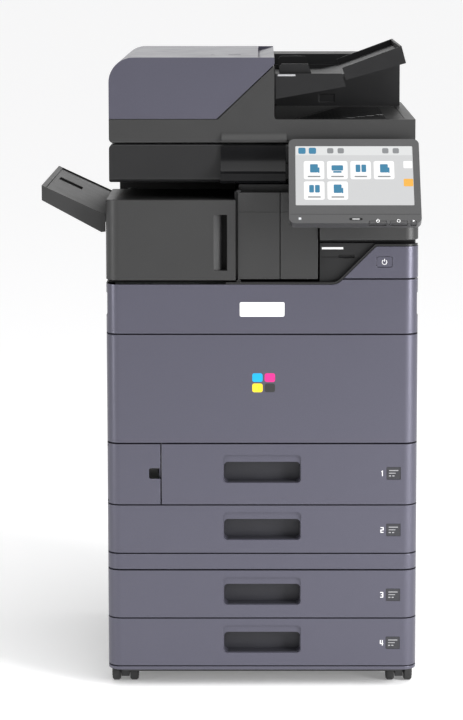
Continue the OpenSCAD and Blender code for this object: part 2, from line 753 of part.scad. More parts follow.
// Sloping tray for finished copies: floor with a pocket, rims, and the two arms that ride in the
// finisher.
module finisher_tray() color(CHARCOAL) placed() {
  x_out = tray_x - tray_reach;
  difference() {
    along_y(tray_y0, tray_y1) polygon([
      [tray_x, tray_z - 3], [x_out + 3, rim_z(x_out + 3) - 3], [x_out + 3, rim_z(x_out + 3) - 10],
      [tray_x, tray_z - 10]]);
    along_y(285, 331) polygon([
      [-412, rim_z(-412) - 1], [-366, rim_z(-366) - 1],
      [-366, rim_z(-366) - 7.5], [-412, rim_z(-412) - 7.5]]);
  }
  for (y = [tray_y0, tray_y1 - 3.5]) along_y(y, y + 3.5) polygon([
    [tray_x, tray_z], [x_out, rim_z(x_out)], [x_out, rim_z(x_out) - 29], [tray_x - 8, tray_z - 34],
    [tray_x, tray_z - 33]]);
  along_y(tray_y0, tray_y1) polygon([
    [x_out, rim_z(x_out)], [x_out + 8, rim_z(x_out + 8)], [x_out + 8, rim_z(x_out) - 33],
    [x_out, rim_z(x_out) - 29]]);
  for (y = [170, 370]) {
    span([tray_x - 1, y, tray_z - 32], [fin_x0 + 12, y + 14, tray_z - 18]);
    along_y(y, y + 14) polygon([
      [tray_x, tray_z - 32], [tray_x, tray_z - 7], [tray_x - 60, rim_z(tray_x - 60) - 7],
      [tray_x - 60, rim_z(tray_x - 60) - 13]]);
  }
}

// ---------- scanner ----------

module scanner_body() color(CHARCOAL) placed() {
  x = half_scan;
  y1 = scan_y + scan_d;
  difference() {
    intersection() {
      along_x(-x, half_w) polygon(concat(
        arc([scan_y + 10, scan_z + 10], 10, 180, 270, 6),
        [[y1, scan_z]],
        [[y1, platen_z]],
        arc([scan_y + 4, platen_z - 4], 4, 90, 180, 4)
      ));
      along_y(scan_y - 1, y1 + 1) polygon(concat(
        arc([-x + 4, scan_z + 4], 4, 180, 270, 4),
        [[half_w, scan_z], [half_w, platen_z]],
        arc([-x + 9, platen_z - 9], 9, 90, 180, 8)
      ));
    }
    span([-x + 4, scan_y + 8, scan_z + 4], [half_w - 4, y1 - 8, platen_z - 8]);
    for (x_range = GLASS_X) {
      span([x_range[0] - 0.5, 88, platen_z - 4.5], [x_range[1] + 0.5, 398, platen_z + 1]);
      span([x_range[0] + 4, 92, platen_z - 10], [x_range[1] - 4, 394, platen_z]);
    }
  }
  for (y = [66, 440]) span([-x + 4, y, scan_z + 40], [half_w - 4, y + 6, scan_z + 46]);
  for (x1 = lid_hinge_x) rod_x(lid_axis[0], lid_axis[1], 3, x1 - 24, x1 + 24);
  for (x1 = lid_hinge_x, s = [-1, 1]) span(
    [x1 + s * 22 - 3, y1, platen_z - 40], [x1 + s * 22 + 3, lid_axis[0] + 3.5, lid_axis[1] + 3.5]);
}

GLASS_X = [[-204.5, 244.5], [-244.5, -221.5]];

module platen_glass() color(GLASS) placed()
  for (x_range = GLASS_X) span([x_range[0], 88.5, platen_z - 4.5], [x_range[1], 397.5, platen_z]);

module scan_carriage() color(BLACK) placed() difference() {
  span([-268, 74, scan_z + 34], [-232, 438, platen_z - 10]);
  span([-256, 92, scan_z + 44], [-244, 420, platen_z]);
}

module mirror_carriage() color(BLACK) placed() {
  span([-276, 74, scan_z + 11], [-244, 438, scan_z + 31]);
}

// ---------- document feeder ----------

// Outline of the slate cover of the document feeder, inset by t.
module cover_outline(t, foot) {
  x0 = -half_scan + t;
  r = shoulder_r;
  translate([-half_scan + r, adf_top - r]) circle(r = r - t, $fn = 96);
  polygon([
    [x0, foot], [x0, adf_top - r], [-half_scan + r, adf_top - r], [-half_scan + r, adf_top - t],
    [feeder_x - t, adf_top - t], [feeder_x - t, adf_top - 13 - t / 2], [-88 - 1.4 * t, foot]]);
}

module adf_top_cover() color(SLATE) placed() difference() {
  union() {
    for (y = [scan_y + 1, scan_y + scan_d - 10.5]) rod_y(cover_axis[0], cover_axis[1], 1.5, y, y + 9.5);
    difference() {
      along_y(scan_y, scan_y + scan_d) cover_outline(0, deck_z + 1);
      for (y = [scan_y + 4, scan_y + scan_d - 10]) rod_y(cover_axis[0], cover_axis[1], 7.5, y, y + 6);
      along_y(scan_y + wall, scan_y + scan_d - wall) {
        cover_outline(wall, deck_z);
        polygon([
          [-half_scan + shoulder_r, deck_z], [-half_scan + shoulder_r, adf_top - 17],
          [feeder_x - 5, adf_top - 17],
          [feeder_x + 2, adf_top - 17], [feeder_x + 2, deck_z]]);
      }
    }
    along_y(scan_y + wall, scan_y + scan_d - wall) polygon([
      [lever_x - 4, adf_top - 1], [lever_x - 4, adf_top - 13],
      [feeder_x - 1, adf_top - 4], [feeder_x - 1, adf_top - 1]]);
  }
  along_y(scan_y + 16, scan_y + scan_d - 10) polygon([
    [lever_x, adf_top + 1], [lever_x, adf_top - 9],
    [feeder_x + 1, adf_top - 0.6], [feeder_x + 1, adf_top + 1]]);
}

lever_x = -8;

// Deck of the document feeder with the feed block, the copy bed and the grip at the front.
module adf_base() color(CHARCOAL) placed() {
  y0 = scan_y;
  y1 = scan_y + scan_d;
  difference() {
    union() {
      intersection() {
        along_x(-half_scan, half_scan) polygon(concat(
          arc([y0 + 5, adf_z + 5], 5, 180, 270, 4), [[y1, adf_z], [y1, deck_z], [y0, deck_z]]));
        along_y(y0 - 1, y1 + 1) polygon(concat(
          arc([-half_scan + 9, adf_z + 9], 9, 180, 270, 8), arc([half_scan - 9, adf_z + 9], 9, 270, 360, 8),
          [[half_scan, deck_z], [-half_scan, deck_z]]));
      }
      along_y(y0 + 5, y1 - 5) feed_block(0);
      for (y = [y0, y1 - 6]) along_y(y, y + 6) {
        polygon([[-86, deck_z - 1], [feeder_x, adf_top - 15.5], [feeder_x, deck_z - 1]]);
        difference() {
          translate([feeder_x - 1, deck_z - 1]) square(6);
          translate([feeder_x + 5, deck_z + 5]) circle(r = 5);
        }
      }
    }
    along_y(y0 + 16, rear_block_y - 2) polygon(concat(
      arc([feeder_x + 12, adf_z + 18], 9, 180, 270, 4),
      [[160, deck_z - 1], [half_scan - 20, deck_z - 1],
      [half_scan - 4, deck_z + 60], [feeder_x + 3, deck_z + 60]]));
    along_y(y0 + 9, y1 - 9) feed_block(4);
    span([-284, y0 + 8, adf_z + 4], [-226, y1 - 8, deck_z]);
    span([-216, 90, adf_z - 1], [feeder_x - 12, 398, deck_z]);
    span([-222, 84, adf_z - 1], [262, 404, adf_z + 3]);
    span([-78, y0 - 1, adf_z - 1], [52, y0 + 10, adf_z + 7]);
    for (x = lid_hinge_x, s = [-1, 1]) let (x1 = x + s * 22)
      span([x1 - 4.5, y1 - 2.5, adf_z - 1], [x1 + 4.5, y1 + 1, adf_z + 10]);
  }
  along_x(-78, 47) polygon([
    [y0 + 0.5, adf_z + 24.5], [y0 - 1.5, adf_z + 17], [y0 - 4.5, adf_z + 11.5], [y0 - 9, adf_z + 7.5],
    [y0 - 9, adf_z + 3.5], [y0 + 0.5, adf_z + 3.5]]);
  for (y = [y0 + 4.5, y1 - 9.5]) cover_ear(y);
  for (y = [51.5, 381]) feed_ear(y);
  for (x = lid_hinge_x) difference() {
    union() {
      rod_x(lid_axis[0], lid_axis[1], 5.5, x - 18, x + 18);
      span([x - 18, y1 - 1, lid_axis[1] + 1], [x + 18, lid_axis[0] + 7, lid_axis[1] + 26]);
    }
    rod_x(lid_axis[0], lid_axis[1], 3.05, x - 19, x + 19);
  }
  for (y = roller_bearing_y) difference() {
    span([-30, y, adf_top - 60], [-18, y + 8, adf_top - 30]);
    rod_y(-24, adf_top - 38, 4.05, y - 1, y + 9);
  }
}

roller_bearing_y = [114, 328];

// Ear on the deck's left edge that holds a pin of the top cover.
module cover_ear(y) along_y(y, y + 5) difference() {
  union() {
    translate(cover_axis) circle(r = 3);
    translate([cover_axis[0] - 3, deck_z - 1]) square([6, cover_axis[1] - deck_z + 1]);
  }
  translate(cover_axis) circle(r = 1.5 + play);
}

// Arm beside a rim of the feed tray, with the pin that the rim turns on.
module feed_ear(y) {
  along_y(y, y + 4) polygon([
    [6, adf_top - 62], [feeder_x - 7, adf_top - 72], [feed_axis[0] + 4, feed_axis[1] - 4],
    [feed_axis[0] + 4, feed_axis[1] + 4], [feed_axis[0] - 4, feed_axis[1] + 4]]);
  rod_y(feed_axis[0], feed_axis[1], 2.5, y < 200 ? 46.5 : y + 1, y < 200 ? y + 3 : 390.5);
}

// Side view of the feed mechanism's casing under the top cover, inset by t.
module feed_block(t) polygon([
  [-half_scan + 12 + t, deck_z - 1 + (t > 0 ? 1 : 0)], [-half_scan + 12 + t, adf_top - 60],
  [-half_scan + 40 + t / 2, adf_top - 24 - t], [-120 - t / 2, adf_top - 24 - t],
  [-60 - t / 2, adf_top - 52 - t], [feeder_x - 6 - t, adf_top - 58 - t],
  [feeder_x - 6 - t, deck_z - 1 + (t > 0 ? 1 : 0)]]);

// Raised back of the document feeder behind the copy bed.
module adf_rear_cover() color(CHARCOAL) placed() difference() {
  span([feeder_x + 0.5, rear_block_y, deck_z], [half_scan - 9, scan_y + scan_d - 0.5, adf_top - 11]);
  span([feeder_x + 4, rear_block_y + wall, deck_z - 1], [half_scan - 12, scan_y + scan_d - 4, adf_top - 14]);
  span([118, rear_block_y - 1, deck_z + 8], [150, rear_block_y + 1.5, deck_z + 24]);
  along_y(rear_block_y - 1, scan_y + scan_d)
    polygon([[feeder_x, deck_z - 1], [feeder_x + 7, deck_z - 1], [feeder_x, deck_z + 6]]);
}

module platen_pad() color(PALE) placed() span([-221, 85, adf_z - 1], [261, 403, adf_z + 3]);

// Tray that takes the originals: a level part and an end that slopes up, each with its rims.
module adf_feed_tray() color(CHARCOAL) placed() {
  y0 = scan_y + 5;
  y1 = 392;
  z = adf_top - 31;
  level = [[feeder_x + 2.5, z], [153, z], [161, z - 25], [feeder_x + 2.5, z - 49]];
  slope = [[154, z + 11], [267.5, z + 53], [276.5, z + 20], [161, z - 12.5]];
  difference() {
    union() {
      for (y = [y0, y1 - 6]) {
        along_y(y, y + 6) polygon(level);
        along_y(y + 0.5, y + 5.5) polygon(slope);
      }
      along_y(y0 + 1, y1 - 1) polygon([
        [feeder_x + 2.5, z - 9], [120, z - 8], [156, z - 1], [266, z + 40], [268, z + 35], [156, z - 6],
        [120, z - 12], [feeder_x + 2.5, z - 13]]);
    }
    rod_y(feed_axis[0], feed_axis[1], 2.5 + play, 46.3, 52);
    rod_y(feed_axis[0], feed_axis[1], 2.5 + play, y1 - 7, 390.7);
    for (y = [y0 + 6, y1 - 11.5]) span([feeder_x, y, z - 60], [48, y + 5.5, z + 1]);
  }
  along_y(y0 + 1, y1 - 1) polygon([[264, z + 51.5], [267.5, z + 53], [276.5, z + 20], [272, z + 18.6]]);
}

// Side guide on the tray: a low fence with a foot under it.
module width_guide(y, s) {
  z = adf_top - 31;
  along_y(y, y + 7) polygon([[33, z - 8], [33, z + 13], [38, z + 18], [88, z + 18], [98, z - 7.8]]);
  span([36, s > 0 ? y + 6 : y - 21, z - 8.2], [84, s > 0 ? y + 28 : y + 1, z - 5.5]);
}

module adf_guide_front() color(CHARCOAL) placed() width_guide(58, 1);
module adf_guide_rear() color(CHARCOAL) placed() width_guide(373, -1);

module adf_feed_roller() color(RUBBER) placed() {
  rod_y(-24, adf_top - 38, 13, 190, 240);
  rod_y(-24, adf_top - 38, 4, 112, 338);
}

// ---------- right side ----------

module right_door() color(CHARCOAL) placed() difference() {
  union() {
    span([half_w - 14, 60, z_2 + 12], [half_w, 501, z_bay - 5]);
    rod_z(right_axis[0], right_axis[1], pin_r, z_2 + 8, z_bay - 1);
  }
  span([half_w - 15, 64, z_2 + 16], [half_w - 10, 497, z_bay - 9]);
  span([half_w - 8, 118, z_cover + 10], [half_w + 1, 462, z_cover + 234]);
  span([half_w - 6, 200, z_2 + 140], [half_w + 1, 330, z_2 + 166]);
  rod_y(bypass_axis[0], bypass_axis[1], 1.5 + play, 114, 466);
}

module bypass_tray() color(CHARCOAL) placed() difference() {
  union() {
    span([half_w - 6.5, 120, z_cover + 12], [half_w, 460, z_cover + 232]);
    rod_y(bypass_axis[0], bypass_axis[1], 1.5, 114.5, 465.5);
  }
  span([half_w - 2, 250, z_cover + 206], [half_w + 1, 330, z_cover + 226]);
}

// ---------- casters ----------

// Swivel fork: the block between the two wheels, its axle, and the stem in the base tray.
module caster_fork(s) color(BLACK) placed() translate([s * caster_x, caster_y[0], 0]) {
  difference() {
    span([-8, -12, 10], [8, trail + 10, 38]);
    along_x(-10, 10) polygon([[12, 9], [30, 9], [30, 30]]);
  }
  rod_x(0, wheel_r, axle_r, -wheel_gap / 2 - wheel_w / 2 - 1, wheel_gap / 2 + wheel_w / 2 + 1);
  rod_z(0, trail, 5, 37, z_4 - 2.5);
  rod_z(0, trail, 9, z_4 - 2.5, z_4);
}

module wheel_pair(s, y) color(RUBBER) placed() for (side = [-1, 1])
  translate([s * caster_x + side * wheel_gap / 2, y, wheel_r]) rotate([0, 90, 0]) difference() {
    union() {
      translate([0, 0, -wheel_w / 2 + 2]) cylinder(r = wheel_r, h = wheel_w - 4, $fn = 96);
      translate([0, 0, -wheel_w / 2]) cylinder(r = wheel_r - 2, h = wheel_w, $fn = 96);
    }
    translate([0, 0, -wheel_w]) cylinder(r = axle_r + 0.05, h = 2 * wheel_w);
  }

// ---------- nodes ----------

main_frame();
feeder_frame();
side_covers();
rear_cover();
feeder_covers();
feeder_trim();
front_upper_panel();
power_panel();
bay_panel();
scanner_column();
print_engine();
toner_containers();
waste_toner_box();
front_cover();
waste_toner_door();
power_button();
exhaust_fan();
for (i = [0:3]) {
  drawer_front(i);
  drawer_tray(i);
  lift_plate(i);
}
scanner_body();
platen_glass();
scan_carriage();
mirror_carriage();
adf_base();
adf_rear_cover();
adf_top_cover();
adf_feed_tray();
adf_guide_front();
adf_guide_rear();
adf_feed_roller();
platen_pad();
panel_arm();
panel_housing();
touch_screen();
for (i = [0:2]) panel_key(PANEL_KEYS[i]);
finisher_body();
finisher_door();
relay_panel(relay_x[0], relay_x[1], true);  // relay_door
relay_panel(relay_x[1], relay_x[2], false);  // relay_cover
finisher_tray();
right_door();
bypass_tray();
caster_fork(-1);  // caster_fork_left
caster_fork(1);  // caster_fork_right
wheel_pair(-1, caster_y[0]);  // wheels_front_left
wheel_pair(1, caster_y[0]);  // wheels_front_right
wheel_pair(-1, caster_y[1]);  // wheels_rear_left
wheel_pair(1, caster_y[1]);  // wheels_rear_right
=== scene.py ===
"""Looks of a floor-standing photocopier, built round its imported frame.

Every piece is drawn in the cabinet's own frame, in millimetres: x from the cabinet's centre plane,
y from the drawer fronts to the rear, z up from the floor. to_frame() brings a point to metres.
"""
import json
import math

import bmesh
import bpy
from mathutils import Matrix, Vector


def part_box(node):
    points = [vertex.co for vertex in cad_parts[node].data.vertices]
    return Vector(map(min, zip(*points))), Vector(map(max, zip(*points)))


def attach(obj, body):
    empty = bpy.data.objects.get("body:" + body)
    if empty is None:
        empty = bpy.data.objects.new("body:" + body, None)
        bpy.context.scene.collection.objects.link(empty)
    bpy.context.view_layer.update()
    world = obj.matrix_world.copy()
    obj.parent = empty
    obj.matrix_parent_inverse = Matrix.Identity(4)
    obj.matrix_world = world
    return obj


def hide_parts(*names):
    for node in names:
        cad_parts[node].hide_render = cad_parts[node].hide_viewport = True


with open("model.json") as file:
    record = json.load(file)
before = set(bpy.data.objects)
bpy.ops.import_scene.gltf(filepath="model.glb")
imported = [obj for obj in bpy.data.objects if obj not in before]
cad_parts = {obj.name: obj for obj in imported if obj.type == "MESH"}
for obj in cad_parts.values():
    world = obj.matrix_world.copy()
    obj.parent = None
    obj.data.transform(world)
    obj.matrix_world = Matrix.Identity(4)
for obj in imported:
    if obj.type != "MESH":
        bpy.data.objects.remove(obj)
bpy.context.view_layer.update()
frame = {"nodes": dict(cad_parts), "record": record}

MM = 0.001
SCENE = bpy.context.scene

# ---------- the cabinet's frame ----------

cover_low, cover_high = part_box("front_cover")
MIDDLE = (cover_low[0] + cover_high[0]) / 2
FACE = cover_low[1]


def to_frame(point):
    """A point of the cabinet's frame, in metres in the frame of the CAD model."""
    return Vector((MIDDLE + point[0] * MM, FACE + point[1] * MM, point[2] * MM))


def cabinet_box(node):
    """Lowest and highest corner of a CAD node, in the cabinet's frame, in millimetres."""
    low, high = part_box(node)
    return tuple(Vector(((c[0] - MIDDLE) / MM, (c[1] - FACE) / MM, c[2] / MM)) for c in (low, high))


# The touch panel's frame: x across from its middle, y into it, z up its face from its lower edge.
PANEL_LEAN = math.radians(38.5)
PANEL_THICK = 16
PANEL_LONG = 190
panel_low, panel_high = cabinet_box("panel_housing")
PANEL_FRAME = Matrix.Translation((
    (panel_low.x + panel_high.x) / 2, panel_low.y, panel_low.z + PANEL_THICK * math.sin(PANEL_LEAN)
)) @ Matrix.Rotation(-PANEL_LEAN, 4, "X")
UPRIGHT = Matrix.Identity(4)

# ---------- materials ----------


def shader_material(name, metallic=0.0, specular=0.5, coat=0.0, coat_roughness=0.1, alpha=1.0, glow=0.0):
    """A material whose unvarying values sit on the shader's own sockets."""
    mat = bpy.data.materials.new(name)
    mat.use_nodes = True
    shader = mat.node_tree.nodes["Principled BSDF"]
    shader.inputs["Metallic"].default_value = metallic
    shader.inputs["Specular IOR Level"].default_value = specular
    shader.inputs["Coat Weight"].default_value = coat
    shader.inputs["Coat Roughness"].default_value = coat_roughness
    shader.inputs["Alpha"].default_value = alpha
    shader.inputs["Emission Strength"].default_value = glow
    return mat, mat.node_tree, shader


def noise(tree, scale, detail=3.0, stretch=(1, 1, 1)):
    """A noise field on object coordinates; scale is in features per metre."""
    place = tree.nodes.new("ShaderNodeTexCoord")
    mapping = tree.nodes.new("ShaderNodeMapping")
    mapping.inputs["Scale"].default_value = stretch
    field = tree.nodes.new("ShaderNodeTexNoise")
    field.inputs["Scale"].default_value = scale
    field.inputs["Detail"].default_value = detail
    tree.links.new(place.outputs["Object"], mapping.inputs["Vector"])
    tree.links.new(mapping.outputs["Vector"], field.inputs["Vector"])
    return field.outputs["Fac"]


def spread(tree, value, low, high):
    """Maps the middle of a noise field to the range low to high."""
    ramp = tree.nodes.new("ShaderNodeMapRange")
    ramp.inputs["From Min"].default_value = 0.3
    ramp.inputs["From Max"].default_value = 0.7
    ramp.inputs["To Min"].default_value = low
    ramp.inputs["To Max"].default_value = high
    tree.links.new(value, ramp.inputs["Value"])
    return ramp.outputs["Result"]


def tinted(tree, shader, color, factor, contrast):
    """Base colour that drifts a little darker and lighter with factor."""
    mix = tree.nodes.new("ShaderNodeMix")
    mix.data_type = "RGBA"
    mix.inputs["A"].default_value = (*[c * (1 - contrast) for c in color], 1)
    mix.inputs["B"].default_value = (*[min(1, c * (1 + contrast)) for c in color], 1)
    tree.links.new(factor, mix.inputs["Factor"])
    tree.links.new(mix.outputs["Result"], shader.inputs["Base Color"])


def bumped(tree, shader, height, strength, distance):
    bump = tree.nodes.new("ShaderNodeBump")
    bump.inputs["Strength"].default_value = strength
    bump.inputs["Distance"].default_value = distance
    tree.links.new(height, bump.inputs["Height"])
    tree.links.new(bump.outputs["Normal"], shader.inputs["Normal"])


def moulded(name, color, rough, grain_scale, grain, contrast=0.06, **fixed):
    """Injection-moulded plastic with a spark-eroded grain and faint flow marks."""
    mat, tree, shader = shader_material(name, **fixed)
    drift = noise(tree, 6.0, 4.0)
    fine = noise(tree, grain_scale, 2.0)
    tinted(tree, shader, color, spread(tree, drift, 0, 1), contrast)
    worn = spread(tree, noise(tree, 35.0, 5.0), rough - 0.02, rough + 0.02)
    tree.links.new(worn, shader.inputs["Roughness"])
    bumped(tree, shader, fine, grain, 0.00025)
    return mat


def metallic_paint(name, color, rough):
    """Satin paint with fine metal flakes under a thin clear layer."""
    mat, tree, shader = shader_material(name, metallic=0.55, specular=0.5, coat=0.15, coat_roughness=0.22)
    flakes = tree.nodes.new("ShaderNodeTexVoronoi")
    flakes.inputs["Scale"].default_value = 1600.0
    place = tree.nodes.new("ShaderNodeTexCoord")
    tree.links.new(place.outputs["Object"], flakes.inputs["Vector"])
    sparkle = tree.nodes.new("ShaderNodeSeparateColor")
    tree.links.new(flakes.outputs["Color"], sparkle.inputs["Color"])
    tinted(tree, shader, color, sparkle.outputs["Red"], 0.05)
    worn = spread(tree, noise(tree, 20.0, 5.0), rough - 0.03, rough + 0.04)
    tree.links.new(worn, shader.inputs["Roughness"])
    bumped(tree, shader, noise(tree, 1400.0, 2.0), 0.12, 0.0001)
    return mat


def plain(name, color, rough, **fixed):
    """A smooth printed or polished finish with slight smears in its gloss."""
    mat, tree, shader = shader_material(name, **fixed)
    tinted(tree, shader, color, noise(tree, 60.0, 3.0), 0.02)
    smears = spread(tree, noise(tree, 45.0, 4.0), max(0.02, rough - 0.04), rough + 0.05)
    tree.links.new(smears, shader.inputs["Roughness"])
    return mat


def glowing(name, color, strength):
    """A lit patch of the display."""
    mat, tree, shader = shader_material(name, specular=0.3, coat=0.2, coat_roughness=0.08, glow=strength)
    shader.inputs["Emission Color"].default_value = (*color, 1)
    shader.inputs["Base Color"].default_value = (*[c * 0.12 for c in color], 1)
    tree.links.new(spread(tree, noise(tree, 40.0, 2.0), 0.16, 0.24), shader.inputs["Roughness"])
    return mat


def rolled_steel(name, color, rough):
    """Zinc-plated sheet with its rolling direction and faint spangle."""
    mat, tree, shader = shader_material(name, metallic=0.9, specular=0.5)
    grain = noise(tree, 160.0, 4.0, stretch=(1, 0.06, 1))
    tinted(tree, shader, color, spread(tree, grain, 0, 1), 0.1)
    worn = spread(tree, noise(tree, 25.0, 3.0), rough - 0.06, rough + 0.08)
    tree.links.new(worn, shader.inputs["Roughness"])
    bumped(tree, shader, grain, 0.15, 0.0001)
    return mat


SLATE = metallic_paint("slate_metallic_paint", (0.086, 0.084, 0.113), 0.34)
CHARCOAL = moulded("charcoal_grained_plastic", (0.021, 0.021, 0.021), 0.42, 1500.0, 0.35)
CHARCOAL_SOFT = moulded("charcoal_satin_plastic", (0.014, 0.014, 0.0145), 0.3, 1800.0, 0.2, specular=0.3)
BEZEL = moulded("panel_bezel_plastic", (0.035, 0.035, 0.036), 0.3, 2200.0, 0.15)
BLACK = moulded("black_moulding", (0.009, 0.009, 0.0095), 0.38, 1300.0, 0.3)
# Black for seams and marks, and also for painted shade in the finisher's grip slot and the louvre recesses.
DEEP_BLACK = moulded("black_seams_marks_and_painted_shade", (0.004, 0.004, 0.004), 0.6, 1300.0, 0.2, specular=0.2)
PALE = moulded("pale_plastic", (0.68, 0.68, 0.65), 0.45, 1600.0, 0.2, 0.03)
WINDOW = moulded("label_window", (0.022, 0.022, 0.027), 0.25, 1300.0, 0.1)
TRAY_BLACK = moulded("dark_tray_plastic", (0.010, 0.010, 0.0105), 0.42, 1500.0, 0.3, specular=0.25)
ARM_BLACK = moulded("glossy_black_cover", (0.004, 0.004, 0.0045), 0.2, 1500.0, 0.05, specular=0.22)
RUBBER = moulded("roller_rubber", (0.022, 0.022, 0.022), 0.7, 900.0, 0.5)
# Painted shade: a darker, duller finish for the shaded inside of the finger pockets.
POCKET_SHADE = moulded("painted_pocket_shade", (0.020, 0.020, 0.026), 0.5, 1500.0, 0.2)
STEEL = rolled_steel("zinc_plated_sheet", (0.42, 0.43, 0.44), 0.36)
BASE_STEEL = moulded("black_powder_coat", (0.018, 0.018, 0.019), 0.5, 1100.0, 0.45)
GLASS = plain("platen_glass_clear", (0.62, 0.72, 0.70), 0.05, coat=0.3, coat_roughness=0.03, alpha=0.45)
WHITE_PRINT = plain("white_print", (0.80, 0.80, 0.80), 0.4)
GREY_PRINT = plain("grey_print", (0.30, 0.30, 0.31), 0.4)
LAMP = glowing("lamp_white", (0.9, 0.92, 0.95), 0.7)
SCREEN = glowing("display_ground", (0.56, 0.565, 0.57), 0.9)
SCREEN_HEAD = glowing("display_header", (0.66, 0.67, 0.67), 0.9)
TILE = glowing("display_tile", (0.9, 0.9, 0.9), 0.9)
TEAL = glowing("display_teal", (0.012, 0.22, 0.40), 0.7)
TILE_GREY = glowing("display_grey", (0.26, 0.27, 0.28), 0.7)
ORANGE = glowing("display_orange", (0.91, 0.45, 0.04), 0.8)
INKS = [
    plain("ink_black", (0.02, 0.02, 0.02), 0.3), plain("ink_cyan", (0.0, 0.32, 0.62), 0.3),
    plain("ink_magenta", (0.62, 0.015, 0.20), 0.3), plain("ink_yellow", (0.80, 0.58, 0.02), 0.3),
]
GREEN_LEVER = plain("green_lever_plastic", (0.05, 0.30, 0.16), 0.4)

# ---------- mesh building ----------


def add_block(bm, low, high):
    """A box between two corners."""
    middle = [(a + b) / 2 for a, b in zip(low, high)]
    size = [b - a for a, b in zip(low, high)]
    bmesh.ops.create_cube(bm, size=1, matrix=Matrix.Translation(middle) @ Matrix.Diagonal((*size, 1)))


def slabs(boxes):
    """A mesh of loose boxes, each given by its lowest and highest corner."""
    bm = bmesh.new()
    for low, high in boxes:
        add_block(bm, low, high)
    return bm


AXES = {"x": (1, 2, 0), "y": (0, 2, 1), "z": (0, 1, 2)}


def add_prism(bm, outline, along, start, end):
    """A flat outline extruded along an axis from start to end."""
    u, v, w = AXES[along]

    def corner(point, level):
        place = [0, 0, 0]
        place[u], place[v], place[w] = point[0], point[1], level
        return bm.verts.new(place)

    near = [corner(p, start) for p in outline]
    far = [corner(p, end) for p in outline]
    bm.faces.new(near)
    bm.faces.new(reversed(far))
    count = len(outline)
    for i in range(count):
        bm.faces.new((near[i], far[i], far[(i + 1) % count], near[(i + 1) % count]))


def round_outline(cx, cy, width, height, radius, steps=5):
    """A rectangle with round corners."""
    points = []
    for quarter, (sx, sy) in enumerate(((1, 1), (-1, 1), (-1, -1), (1, -1))):
        for i in range(steps + 1):
            turn = math.radians(90 * (quarter + i / steps))
            points.append((cx + sx * (width / 2 - radius) + radius * math.cos(turn),
                           cy + sy * (height / 2 - radius) + radius * math.sin(turn)))
    return points


def circle_outline(cx, cy, radius, steps=32, start=0.0, end=360.0):
    full = end - start >= 360
    count = steps if full else steps + 1
    return [(cx + radius * math.cos(math.radians(start + (end - start) * i / steps)),
             cy + radius * math.sin(math.radians(start + (end - start) * i / steps))) for i in range(count)]


def add_ring(bm, cx, cy, outer, inner, along, start, end, steps=36, first=0.0, last=360.0):
    """A flat ring, or an arc of one, extruded along an axis."""
    if last - first >= 360:
        outside = circle_outline(cx, cy, outer, steps)
        inside = circle_outline(cx, cy, inner, steps)
        for i in range(steps):
            j = (i + 1) % steps
            add_prism(bm, [outside[i], outside[j], inside[j], inside[i]], along, start, end)
        return
    outside = circle_outline(cx, cy, outer, steps, first, last)
    inside = circle_outline(cx, cy, inner, steps, first, last)
    add_prism(bm, outside + inside[::-1], along, start, end)


def settle(bm, weld=True):
    """Welds what touches, drops inner walls that two prisms share, and turns the faces outwards."""
    if weld:
        bmesh.ops.remove_doubles(bm, verts=bm.verts, dist=0.001)
        shared = {}
        for face in bm.faces:
            shared.setdefault(tuple(sorted(v.index for v in face.verts)), []).append(face)
        twins = [f for group in shared.values() if len(group) == 2 for f in group]
        if twins:
            bmesh.ops.delete(bm, geom=twins, context="FACES")
    bmesh.ops.recalc_face_normals(bm, faces=bm.faces)


def baked_mesh(obj):
    """The object's mesh with its modifiers applied; the object itself is removed."""
    graph = bpy.context.evaluated_depsgraph_get()
    mesh = bpy.data.meshes.new_from_object(obj.evaluated_get(graph))
    bpy.data.objects.remove(obj)
    return mesh


def with_round_edges(mesh, name, edge, steps, angle=38):
    """Rounds the sharp edges of a mesh by edge millimetres and evens its shading."""
    obj = bpy.data.objects.new(name, mesh)
    SCENE.collection.objects.link(obj)
    mesh.shade_smooth()
    mesh.set_sharp_from_angle(angle=math.radians(32))
    if edge:
        bevel = obj.modifiers.new("edges", "BEVEL")
        bevel.width = edge * MM
        bevel.segments = steps
        bevel.limit_method = "ANGLE"
        bevel.angle_limit = math.radians(angle)
        bevel.use_clamp_overlap = True
    even = obj.modifiers.new("even_shading", "WEIGHTED_NORMAL")
    even.keep_sharp = True
    even.weight = 80
    return baked_mesh(obj)


def piece_from_mesh(name, mesh, body, material):
    obj = bpy.data.objects.new(name, mesh)
    SCENE.collection.objects.link(obj)
    mesh.materials.clear()
    mesh.materials.append(material)
    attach(obj, body)
    return obj


def piece(name, bm, body, slot, material, edge=0.5, steps=2, place=UPRIGHT, weld=True):
    """Turns a bmesh in cabinet millimetres into a finished piece that rides on a body."""
    bm.verts.index_update()
    settle(bm, weld)
    for vert in bm.verts:
        vert.co = to_frame(place @ vert.co)
    mesh = bpy.data.meshes.new(name)
    bm.to_mesh(mesh)
    bm.free()
    return piece_from_mesh(name, with_round_edges(mesh, name, edge, steps), body, material)


def body_of_node(node):
    return next(b for b, members in frame["record"]["behaviour"]["bodies"].items() if node in members)


def slot_of_node(node):
    return next(s["material_slot"] for s in frame["record"]["subparts"] if s["node"] == node)


def with_cuts(mesh, name, cutter):
    """The mesh with shallow recesses taken out of its outer face."""
    obj = bpy.data.objects.new(name, mesh)
    SCENE.collection.objects.link(obj)
    cut = obj.modifiers.new("recesses", "BOOLEAN")
    cut.operation = "DIFFERENCE"
    cut.solver = "EXACT"
    cut.object = cutter
    result = baked_mesh(obj)
    bpy.data.objects.remove(cutter)
    return result


